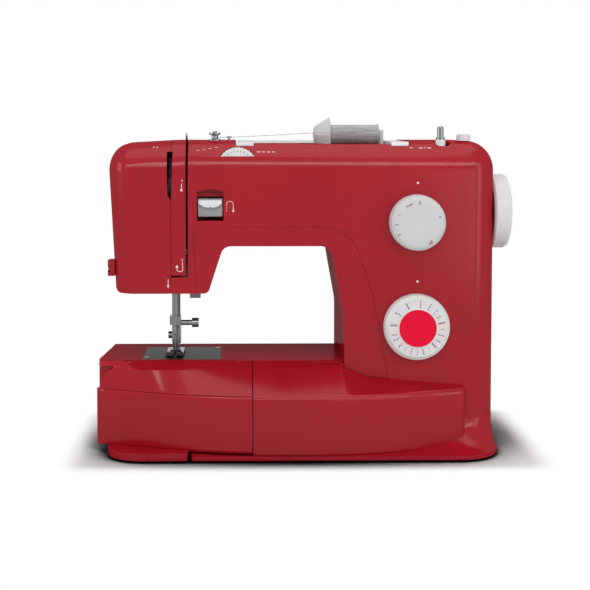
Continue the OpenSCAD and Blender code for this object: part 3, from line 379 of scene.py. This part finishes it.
def carrier_of(name, data):
    """An object in the scene for a mesh or curve that is only there to be evaluated."""
    carrier = bpy.data.objects.new(name, data)
    bpy.context.scene.collection.objects.link(carrier)
    return carrier


def tree_mesh(name, tree, values):
    """The plain mesh that a geometry tree makes on an empty carrier, with named inputs."""
    carrier = carrier_of(name, bpy.data.meshes.new(name))
    modifier = carrier.modifiers.new("Make", "NODES")
    modifier.node_group = tree
    for label, value in values.items():
        modifier[tree.interface.items_tree[label].identifier] = value
    return plain_mesh(carrier)


def flat_mesh(outlines, place=Matrix()):
    """Flat outlines (x, z in mm) as faces on the XZ plane, then placed."""
    bm = bmesh.new()
    for path in outlines:
        bm.faces.new([bm.verts.new((x * MM, 0, z * MM)) for x, z in path])
    bmesh.ops.transform(bm, matrix=place, verts=bm.verts)
    mesh = bpy.data.meshes.new("flat")
    bm.to_mesh(mesh)
    bm.free()
    return mesh


def draped(name, flats, node, film=INK_FILM):
    """Flat meshes pressed along Y onto the front of a CAD node, as one thin film of ink.

    Each point is sent back from in front of the machine until it meets the node.
    """
    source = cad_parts[node].data
    skin = BVHTree.FromPolygons([v.co for v in source.vertices],
                                [p.vertices for p in source.polygons])
    bm = bmesh.new()
    for flat in flats:
        bm.from_mesh(flat)
        bpy.data.meshes.remove(flat)
    bmesh.ops.triangulate(bm, faces=bm.faces)
    for _ in range(3):
        long = [e for e in bm.edges if e.calc_length() > INK_EDGE * MM]
        if long:
            bmesh.ops.subdivide_edges(bm, edges=long, cuts=1)
            bmesh.ops.triangulate(bm, faces=bm.faces)
    for v in bm.verts:
        spot = skin.ray_cast(Vector((v.co.x, IN_FRONT, v.co.z)), Vector((0, 1, 0)))[0]
        v.co.y = spot.y + INK_SUNK * MM
    grown = bmesh.ops.extrude_face_region(bm, geom=bm.faces[:])
    for v in grown["geom"]:
        if isinstance(v, bmesh.types.BMVert):
            v.co.y -= (film + INK_SUNK) * MM
    bmesh.ops.recalc_face_normals(bm, faces=bm.faces)
    mesh = bpy.data.meshes.new(name)
    bm.to_mesh(mesh)
    bm.free()
    return mesh


def bar(x0, z0, x1, z1, width):
    """A straight stroke from one point to another, as an outline."""
    run = Vector((x1 - x0, z1 - z0)).normalized() * width / 2
    side = Vector((-run.y, run.x))
    a, b = Vector((x0, z0)), Vector((x1, z1))
    return [tuple(a - side), tuple(b - side), tuple(b + side), tuple(a + side)]


def disc(x, z, radius, sides=24):
    """A round spot, as an outline."""
    return [(x + radius * math.cos(2 * math.pi * i / sides),
             z + radius * math.sin(2 * math.pi * i / sides)) for i in range(sides)]


def text_mesh(words, size, place):
    """Plain numerals as a flat mesh, upright on the XZ plane, then placed."""
    curve = bpy.data.curves.new("numerals", "FONT")
    curve.body = words
    curve.size = size * MM
    curve.offset = 0.012 * size * MM
    curve.align_x = "CENTER"
    curve.align_y = "CENTER"
    mesh = plain_mesh(carrier_of("numerals", curve))
    mesh.transform(place @ Matrix.Rotation(math.radians(90), 4, "X"))
    return mesh


def at(x, y, z):
    """A move to a place in mm."""
    return Matrix.Translation((x * MM, y * MM, z * MM))


# ---------------------------------------------------------------- operators

class SEWING_OT_stage(bpy.types.Operator):
    """Floor, backdrop, lamps, world and camera"""
    bl_idname = "sewing.stage"
    bl_label = "Stage"

    def execute(self, context):
        settings = context.scene.sewing_stage
        scene = context.scene
        scene.view_settings.view_transform = "Standard"
        self.world(scene)
        self.floor()
        self.lamps()
        self.camera(scene, settings)
        return {"FINISHED"}

    def world(self, scene):
        world = bpy.data.worlds.new("Studio")
        scene.world = world
        world.use_nodes = True
        tree = world.node_tree
        soft = tree.nodes["Background"]
        soft.inputs["Color"].default_value = (1, 1, 1, 1)
        soft.inputs["Strength"].default_value = WORLD_LIGHT
        white = tree.nodes.new("ShaderNodeBackground")
        white.inputs["Color"].default_value = (1, 1, 1, 1)
        white.inputs["Strength"].default_value = 1.0
        mix = tree.nodes.new("ShaderNodeMixShader")
        tree.links.new(seen_white(tree), mix.inputs["Fac"])
        tree.links.new(soft.outputs["Background"], mix.inputs[1])
        tree.links.new(white.outputs["Background"], mix.inputs[2])
        tree.links.new(mix.outputs["Shader"], tree.nodes["World Output"].inputs["Surface"])

    def floor(self):
        bm = bmesh.new()
        bmesh.ops.create_grid(bm, x_segments=1, y_segments=1, size=FLOOR_HALF_WIDTH)
        mesh = bpy.data.meshes.new("floor")
        bm.to_mesh(mesh)
        bm.free()
        floor = bpy.data.objects.new("floor", mesh)
        bpy.context.scene.collection.objects.link(floor)
        mesh.materials.append(self.floor_material())

    def floor_material(self):
        """White floor near the machine, where its shadow falls and where its colour darkens by
        occlusion as a painted contact shade, and plain white light further out.
        """
        material = bpy.data.materials.new("White floor")
        material.use_nodes = True
        tree = material.node_tree
        link = tree.links.new
        shader = tree.nodes["Principled BSDF"]
        # Painted contact shade: occlusion darkens the floor's base colour, to black where half
        # occluded
        painted_shade_ao = tree.nodes.new("ShaderNodeAmbientOcclusion")
        painted_shade_ao.samples = 8
        painted_shade_ao.inputs["Distance"].default_value = PAINTED_SHADE_REACH
        depth = tree.nodes.new("ShaderNodeMapRange")
        depth.interpolation_type = "SMOOTHSTEP"
        depth.inputs["From Min"].default_value = 0.5
        depth.inputs["From Max"].default_value = 1.0
        depth.inputs["To Min"].default_value = 0.0
        depth.inputs["To Max"].default_value = 0.9
        link(painted_shade_ao.outputs["AO"], depth.inputs["Value"])
        link(depth.outputs["Result"], shader.inputs["Base Color"])
        shader.inputs["Roughness"].default_value = 0.9
        shader.inputs["Specular IOR Level"].default_value = 0.1
        place = tree.nodes.new("ShaderNodeTexCoord")
        last = place.outputs["Object"]
        for operation, value in (("ABSOLUTE", None), ("SUBTRACT", FOOTPRINT),
                                 ("MAXIMUM", (0, 0, 0)), ("LENGTH", None)):
            step = tree.nodes.new("ShaderNodeVectorMath")
            step.operation = operation
            link(last, step.inputs[0])
            if value:
                step.inputs[1].default_value = value
            last = step.outputs["Value" if operation == "LENGTH" else "Vector"]
        fade = tree.nodes.new("ShaderNodeMapRange")
        fade.interpolation_type = "SMOOTHSTEP"
        fade.inputs["From Min"].default_value = SHADOW_FROM
        fade.inputs["From Max"].default_value = SHADOW_TO
        seen = tree.nodes.new("ShaderNodeMath")
        seen.operation = "MULTIPLY"
        white = tree.nodes.new("ShaderNodeEmission")
        mix = tree.nodes.new("ShaderNodeMixShader")
        link(last, fade.inputs["Value"])
        link(fade.outputs["Result"], seen.inputs[0])
        link(seen_white(tree), seen.inputs[1])
        link(seen.outputs["Value"], mix.inputs["Fac"])
        link(shader.outputs["BSDF"], mix.inputs[1])
        link(white.outputs["Emission"], mix.inputs[2])
        link(mix.outputs["Shader"], tree.nodes["Material Output"].inputs["Surface"])
        return material

    def lamps(self):
        for name, place, aim, size, power in LAMPS:
            data = bpy.data.lights.new(name, "AREA")
            data.shape = "RECTANGLE"
            data.size, data.size_y = size
            data.energy = power
            lamp = bpy.data.objects.new(name, data)
            bpy.context.scene.collection.objects.link(lamp)
            lamp.location = place
            lamp.rotation_euler = (Vector(aim) - Vector(place)).to_track_quat("-Z", "Y").to_euler()
            lamp.visible_camera = False

    def camera(self, scene, settings):
        focal = settings.focal_px / PICTURE_PX
        middle = PICTURE_PX / 2
        data = bpy.data.cameras.new("camera")
        data.sensor_width = SENSOR_MM
        data.lens = SENSOR_MM * focal
        camera = bpy.data.objects.new("camera", data)
        scene.collection.objects.link(camera)
        camera.location = (-0.054, -settings.distance, 0.288)
        camera.rotation_euler = (math.radians(90) - settings.pitch, 0, -YAW)
        data.shift_x = (middle - AIM_X_PX) / PICTURE_PX - math.tan(YAW) * focal
        data.shift_y = math.tan(settings.pitch) * focal - (middle - AIM_Y_PX) / PICTURE_PX
        scene.camera = camera


def seen_white(tree):
    """One for rays that see the backdrop, straight on, mirrored or through a clear part."""
    path = tree.nodes.new("ShaderNodeLightPath")
    total = path.outputs["Is Camera Ray"]
    for label in ("Is Glossy Ray", "Is Transmission Ray"):
        add = tree.nodes.new("ShaderNodeMath")
        add.operation = "MAXIMUM"
        tree.links.new(total, add.inputs[0])
        tree.links.new(path.outputs[label], add.inputs[1])
        total = add.outputs[0]
    return total


class SEWING_OT_housing(bpy.types.Operator):
    """The red housing, the table and the base"""
    bl_idname = "sewing.housing"
    bl_label = "Red housing"

    def execute(self, context):
        settings = context.scene.sewing_housing
        red = plastic("Housing red", settings.colour, 0.4, settings.grain_depth,
                      blur=settings.roughness)
        dress(RED_HOUSING, red)
        return {"FINISHED"}


class SEWING_OT_trim(bpy.types.Operator):
    """The pale, clear, grey and dark plastic parts"""
    bl_idname = "sewing.trim"
    bl_label = "Plastic trim"

    def execute(self, context):
        pale = context.scene.sewing_trim.pale
        dress(PALE_PLASTIC, plastic("Pale plastic", pale, 0.42))
        dress(DIAL_PLASTIC, plastic("Light grey plastic", scaled(pale, 0.86), 0.5, gloss=0.04))
        dress(CLEAR_PLASTIC, plastic("Clear plastic", (0.82, 0.83, 0.84), 0.25,
                                     Transmission_Weight=0.4))
        dress(GREY_PLASTIC, plastic("Grey plastic", (0.30, 0.30, 0.305), 0.45, gloss=0.05))
        dress(DARK_PLASTIC, plastic("Dark plastic", (0.03, 0.03, 0.032), 0.45, 0.00003))
        dress(("lamp",), plastic("Frosted glass", (0.86, 0.82, 0.7), 0.5))
        return {"FINISHED"}


class SEWING_OT_steelwork(bpy.types.Operator):
    """The polished, ground and cast metal parts, the bushings and the rubber"""
    bl_idname = "sewing.steelwork"
    bl_label = "Steelwork and rubber"

    def execute(self, context):
        dress(POLISHED, metal("Polished steel", (0.2, 0.203, 0.21), 0.14, 0.26))
        dress(("needle_plate",), metal("Plate steel", (0.2, 0.202, 0.205), 0.3, 0.42,
                                       Specular_Tint=(0.35, 0.35, 0.35, 1)))
        dress(GROUND_STEEL, metal("Ground steel", (0.22, 0.223, 0.23), 0.28, 0.4))
        dress(CAST_METAL, metal("Cast aluminium", (0.16, 0.162, 0.165), 0.5, 0.62, 0.00006))
        dress(("shaft_bushings",), metal("Sintered bronze", (0.5, 0.32, 0.15), 0.35, 0.5))
        dress(RUBBER, plastic("Black rubber", (0.018, 0.018, 0.019), 0.8, 0.00004))
        return {"FINISHED"}


class SEWING_OT_spool_thread(bpy.types.Operator):
    """The thread wound on the spool, and the loose end that goes to the guide"""
    bl_idname = "sewing.spool_thread"
    bl_label = "Sewing thread"

    def execute(self, context):
        settings = context.scene.sewing_thread
        material = self.material(settings)
        dress(("thread_spool", "upper_thread"), material)
        mesh = tree_mesh("winding", self.winding_tree(), {
            "Turns": float(settings.turns), "Radius": WOUND_RADIUS * MM,
            "Length": WOUND_LENGTH * MM, "Thread": THREAD_RADIUS * MM, "Material": material})
        mesh.transform(at(SPOOL_X, SPOOL_Y, SPOOL_Z) @ Matrix.Rotation(math.radians(90), 4, "Y"))
        add_piece("wound_thread", mesh, material, "spool")
        return {"FINISHED"}

    def material(self, settings):
        """Spun thread with a faint sheen."""
        brush = group_named("Brushed lines", build_brush_group)
        made = Finish("Sewing thread", brush, Sheen_Weight=0.3)
        made.tone("Lines", scaled(settings.colour, 0.7), scaled(settings.colour, 1.3))
        made.dullness("Smudge", 0.45, 0.6)
        return made.relief("Lines", 0.00003).material

    def winding_tree(self):
        """A close helix round Z, as a thin tube."""
        tree = bpy.data.node_groups.new("Wound thread", "GeometryNodeTree")
        new = tree.interface.new_socket
        for label in ("Turns", "Radius", "Length", "Thread"):
            new(label, in_out="INPUT", socket_type="NodeSocketFloat")
        new("Material", in_out="INPUT", socket_type="NodeSocketMaterial")
        new("Geometry", in_out="OUTPUT", socket_type="NodeSocketGeometry")
        given = tree.nodes.new("NodeGroupInput")
        tree.nodes.new("NodeGroupOutput")
        helix = tree.nodes.new("GeometryNodeCurveSpiral")
        helix.inputs["Resolution"].default_value = 30
        outline = tree.nodes.new("GeometryNodeCurvePrimitiveCircle")
        outline.inputs["Resolution"].default_value = 6
        sweep = tree.nodes.new("GeometryNodeCurveToMesh")
        sweep.inputs["Fill Caps"].default_value = True
        link = tree.links.new
        link(given.outputs["Turns"], helix.inputs["Rotations"])
        link(given.outputs["Radius"], helix.inputs["Start Radius"])
        link(given.outputs["Radius"], helix.inputs["End Radius"])
        link(given.outputs["Length"], helix.inputs["Height"])
        link(given.outputs["Thread"], outline.inputs["Radius"])
        link(helix.outputs["Curve"], sweep.inputs["Curve"])
        link(outline.outputs["Curve"], sweep.inputs["Profile Curve"])
        finish_tree(tree, sweep.outputs["Mesh"])
        return tree


class SEWING_OT_dial_prints(bpy.types.Operator):
    """The marks on both dials and the coloured middle of the pattern dial"""
    bl_idname = "sewing.dial_prints"
    bl_label = "Dial prints"

    def execute(self, context):
        settings = context.scene.sewing_trim
        accent = plastic("Dial red", settings.accent, 0.35, gloss=0.03)
        ink = plastic("Grey ink", INK_GREY, 0.5, gloss=0.0)
        rose = plastic("Rose ink", (0.33, 0.015, 0.07), 0.5, gloss=0.0)
        spot = flat_mesh([disc(0, 0, MIDDLE_RADIUS, 72)], at(DIAL_X, 0, PATTERN_Z))
        add_piece("pattern_dial_middle", draped("dial_middle", [spot], "pattern_dial", 0.3),
                  accent, "pattern_wheel")
        self.stitch_signs(ink, rose)
        self.numerals(ink, rose)
        return {"FINISHED"}

    def stitch_signs(self, ink, rose):
        """Small signs round the pattern dial, each made of a few strokes along the radius."""
        inks = {"grey": [], "rose": []}
        for angle, colour, width, strokes in STITCH_SIGNS:
            place = (at(DIAL_X, 0, PATTERN_Z) @ Matrix.Rotation(math.radians(angle), 4, "Y")
                     @ at(0, 0, SIGN_RADIUS))
            inks[colour].append(flat_mesh([bar(*stroke, width) for stroke in strokes], place))
        for colour, material in (("grey", ink), ("rose", rose)):
            signs = draped("signs_" + colour, inks[colour], "pattern_dial")
            add_piece("pattern_signs_" + colour, signs, material, "pattern_wheel")

    def numerals(self, ink, rose):
        """Plain stitch lengths round the left of the upper dial, and two stretch marks."""
        made = [text_mesh(words, size, self.on_upper_dial(angle, out))
                for words, angle, out, size in UPPER_NUMERALS]
        add_piece("stitch_numerals", draped("numerals", made, "stitch_length_dial"),
                  ink, "stitch_wheel")
        stretch = [bar(-3.4, -0.2, -2.2, 0.7, 0.8), bar(-2.4, 0.6, -0.6, 0.1, 0.8),
                   bar(-0.8, 0.1, 3.2, 0.3, 0.9)]
        marks = [flat_mesh(stretch, self.on_upper_dial(-27, 17.6)),
                 flat_mesh([bar(-1.8, y, 1.2 + y, y, 0.6) for y in (-0.9, 0.2, 1.1)],
                           self.on_upper_dial(148, 19.4))]
        add_piece("stitch_marks", draped("marks", marks, "stitch_length_dial"),
                  rose, "stitch_wheel")

    def on_upper_dial(self, angle, out):
        """The place of a mark at an angle from the top, clockwise, so far from the middle."""
        return (at(DIAL_X, 0, STITCH_Z) @ Matrix.Rotation(math.radians(angle), 4, "Y")
                @ at(0, 0, out))


# Numeral, its angle from the top (clockwise), its distance from the middle and its size
UPPER_NUMERALS = (("0", 2, 17.6, 4.4), ("1", -67, 18.6, 3.8), ("2", -94, 19.2, 3.8),
                  ("3", -121, 19.4, 3.8), ("4", 73, 19.0, 3.4))

# Angle from the top (clockwise), ink, stroke width, and strokes (x, z, x, z) in mm, z outwards
STITCH_SIGNS = (
    (6, "rose", 0.75, [(0, 3.4, 0, 1.6), (0, 1.0, 0, -0.8), (0, -1.4, 0, -3.4)]),
    (16, "grey", 0.5, [(-0.3, 2.6, 0.4, 2.4)]),
    (29, "rose", 0.7, [(0, 3.2, 0, 1.5), (0, 0.9, 0, -0.9), (0, -1.5, 0, -3.2)]),
    (47, "grey", 0.5, [(-0.6, 2.8, 0.5, 1.6), (0.5, 1.6, -0.6, 0.2), (0.4, -0.8, -0.4, -2.4)]),
    (62, "grey", 0.45, [(0.5, 2.4, -0.5, 0.8), (-0.5, 0.8, 0.6, -0.9), (0.6, -0.9, -0.3, -2.6)]),
    (78, "rose", 0.85, [(-0.6, 3.3, 0.6, 2.2), (0.6, 2.2, -0.6, 1.0), (-0.6, 1.0, 0.6, -0.2),
                        (0.6, -0.2, -0.6, -1.4), (-0.6, -1.4, 0.5, -2.6)]),
    (93, "rose", 0.35, [(-0.8, 2.8, 0.8, 1.8), (0.8, 1.8, -0.8, 0.4), (-0.8, 0.4, 0.7, -1.2)]),
    (107, "rose", 0.6, [(0.5, 3.2, -0.4, 1.4), (-0.4, 1.4, 0.5, -0.4), (0.5, -0.4, -0.4, -2.8)]),
    (122, "grey", 0.5, [(-0.7, 2.6, 0.7, 1.2), (0, 2.0, 0, -2.2), (0.9, -0.4, -0.5, -1.6)]),
    (136, "rose", 0.7, [(0, 3.2, 0, -3.2), (0, 1.4, 1.1, 0.6), (0, -1.0, 1.1, -1.8)]),
    (151, "grey", 0.4, [(-0.6, 2.2, 0.6, 1.0), (-0.6, -0.2, 0.6, -1.4)]),
    (166, "grey", 0.6, [(-0.8, 3.0, 0.6, 2.4), (0.6, 2.4, -0.2, 0.2), (-0.2, 0.2, 0.8, -2.6)]),
    (181, "grey", 0.5, [(0, 2.8, 0, 1.2), (0, 0.4, 0, -0.8), (0, -1.6, 0, -2.8)]),
    (195, "rose", 0.7, [(0, 3.2, 0, 1.8), (0.2, 0.9, -0.3, -0.4), (0, -1.4, 0, -2.8)]),
    (210, "grey", 0.4, [(-0.7, 1.8, 0.7, 0.6), (0.7, -0.6, -0.7, -1.8)]),
    (225, "rose", 0.6, [(-0.8, 2.6, 0.8, 1.2), (0.8, 1.2, -0.8, -0.2), (-0.8, -0.2, 0.8, -1.8)]),
    (242, "grey", 0.6, [(-0.6, 3.2, 0.5, 1.4), (0.5, 1.4, -0.5, -0.6), (-0.5, -0.6, 0.6, -3.0)]),
    (254, "rose", 0.6, [(-0.5, 2.8, 0.7, 1.2), (0.7, 1.2, -0.6, -0.4), (-0.6, -0.4, 0.4, -2.4)]),
    (276, "grey", 0.85, [(0, 3.4, 0.2, -3.2)]),
    (276, "grey", 0.35, [(1.6, 2.8, 1.6, -2.6)]),
    (306, "grey", 0.65, [(-1.6, 2.0, -0.6, 2.9), (-0.6, 2.9, 0.3, 0.2), (0.3, 0.2, 0.1, -2.8)]),
    (335, "grey", 0.9, [(-0.3, 3.2, 0.2, -3.0)]),
    (339, "grey", 0.5, [(1.0, 3.0, 1.1, 2.2)]),
    (352, "grey", 0.5, [(0, 2.9, 0.4, 2.3)]),
)


class SEWING_OT_body_prints(bpy.types.Operator):
    """The white marks on the housing, the tension ticks and the reverse lever's pale lip"""
    bl_idname = "sewing.body_prints"
    bl_label = "Housing prints"

    def execute(self, context):
        ink = plastic("White ink", context.scene.sewing_trim.print_white, 0.45, gloss=0.0)
        for name, outlines, node, body in (
            ("front_prints", self.front_prints(), "front_cover", "housing"),
            ("face_prints", self.face_prints(), "face_cover", "housing"),
        ):
            add_piece(name, draped(name, [flat_mesh(outlines)], node), ink, body)
        grey = plastic("Tick ink", INK_GREY, 0.5, gloss=0.0)
        ticks = draped("ticks", [flat_mesh(self.tension_ticks())], "tension_dial")
        add_piece("tension_ticks", ticks, grey, "tension_wheel")
        pale = plastic("Lever lip", context.scene.sewing_trim.pale, 0.35, gloss=0.03)
        lip = draped("lip", [flat_mesh(self.lever_lip())], "reverse_lever", 0.25)
        add_piece("reverse_lever_lip", lip, pale, "reverse")
        return {"FINISHED"}

    def tension_ticks(self):
        """Short strokes along the radius over the upper part of the tension dial."""
        turns = [(math.sin(a), math.cos(a)) for a in (0.21 * i for i in range(-4, 5))]
        return [bar(TENSION_X + TICK_IN * x, TENSION_Z + TICK_IN * z,
                    TENSION_X + TICK_OUT * x, TENSION_Z + TICK_OUT * z, 0.45)
                for x, z in turns]

    def lever_lip(self):
        """The pale upper part of the reverse lever, ending in a shallow arc."""
        half, top = 9.9, 222.4
        arc_radius, arc_z = 16.2, 231.7
        arc = [(LEVER_X + x, arc_z - math.sqrt(arc_radius ** 2 - x * x))
               for x in (-half + 2 * half * i / 16 for i in range(17))]
        return [[(LEVER_X - half, top), *arc, (LEVER_X + half, top)]]

    def front_prints(self):
        """Dots over the dials, thread signs, the reverse sign and dashes along the top."""
        marks = [disc(97.3, 237.3, 1.0), disc(97.5, 150.7, 1.0)]
        marks += [bar(x - 1.4, 264.4, x + 1.4, 264.4, 0.55) for x in (-42.2, -37.8, -33.4, -29.0)]
        marks += self.path([(-108.9, 168.6), (-108.6, 160.4), (-111.0, 159.6), (-113.6, 160.6),
                            (-113.6, 163.4)], 0.5)
        marks.append([(-115.0, 163.2), (-112.2, 163.2), (-113.6, 165.6)])
        marks += self.path([(-109.4, 237.0), (-109.5, 231.6)], 0.5)
        marks.append([(-110.8, 232.0), (-109.5, 229.4), (-108.2, 232.0)])
        marks += self.path([(-109.6, 240.2), (-108.4, 239.6), (-109.2, 238.6)], 0.4)
        marks += self.path([(-109.6, 170.6), (-108.4, 170.0), (-109.4, 169.2)], 0.4)
        marks += [bar(-70.2, z, -70.2, z - 1.2, 0.4) for z in (218.6, 216.2, 213.8)]
        marks += self.path([(-70.2 + 2.95 * (1 - math.cos(a)), 218.8 + 2.6 * math.sin(a))
                            for a in (math.pi * i / 8 for i in range(9))], 0.4)
        marks += self.path([(-64.3, 218.8), (-64.3, 213.6)], 0.4)
        marks.append([(-65.5, 213.8), (-64.3, 211.4), (-63.1, 213.8)])
        marks += [bar(x, z, x + 2.4, z + 0.3, 0.3)
                  for x, z in ((-96.4, 265.7), (-91.0, 266.5), (-85.8, 267.2), (-80.4, 268.2))]
        marks += [bar(91.2, 268.0, 93.6, 268.0, 0.5), bar(99.4, 267.8, 102.4, 267.8, 0.6),
                  bar(103.6, 267.4, 105.0, 268.4, 0.4), bar(106.4, 267.8, 110.0, 267.8, 0.6)]
        return marks

    def face_prints(self):
        """An arrow over the needle and two dashes over the left slot."""
        marks = self.path([(-121.4, 152.9), (-121.4, 147.4)], 0.5)
        marks += [bar(x, 268.5, x + 1.6, 268.5, 0.4) for x in (-135.0, -132.2)]
        marks.append([(-122.6, 147.6), (-121.4, 145.2), (-120.2, 147.6)])
        return marks

    def path(self, points, width):
        """A line through points, as one short bar for each step."""
        return [bar(*a, *b, width) for a, b in zip(points, points[1:])]


STEPS = (SEWING_OT_stage, SEWING_OT_housing, SEWING_OT_trim, SEWING_OT_steelwork,
         SEWING_OT_spool_thread, SEWING_OT_dial_prints, SEWING_OT_body_prints)


class SEWING_PT_panel(bpy.types.Panel):
    """Sizes, colours and steps of the sewing machine"""
    bl_idname = "SEWING_PT_panel"
    bl_label = "Sewing Machine"
    bl_space_type = "VIEW_3D"
    bl_region_type = "UI"
    bl_category = "Sewing Machine"

    def draw(self, context):
        for label in SETTINGS:
            settings = getattr(context.scene, label)
            for name in settings.__annotations__:
                self.layout.prop(settings, name)
        for step in STEPS:
            self.layout.operator(step.bl_idname)


SETTINGS = {
    "sewing_housing": HousingSettings,
    "sewing_trim": TrimSettings,
    "sewing_thread": ThreadSettings,
    "sewing_stage": StageSettings,
}
CLASSES = (*SETTINGS.values(), *STEPS, SEWING_PT_panel)


def register():
    for cls in CLASSES:
        bpy.utils.register_class(cls)
    for label, kind in SETTINGS.items():
        setattr(bpy.types.Scene, label, bpy.props.PointerProperty(type=kind))


def unregister():
    for label in SETTINGS:
        delattr(bpy.types.Scene, label)
    for cls in reversed(CLASSES):
        bpy.utils.unregister_class(cls)


def main():
    register()
    for step in STEPS:
        getattr(bpy.ops.sewing, step.bl_idname.split(".")[1])()


if __name__ == "__main__":
    main()
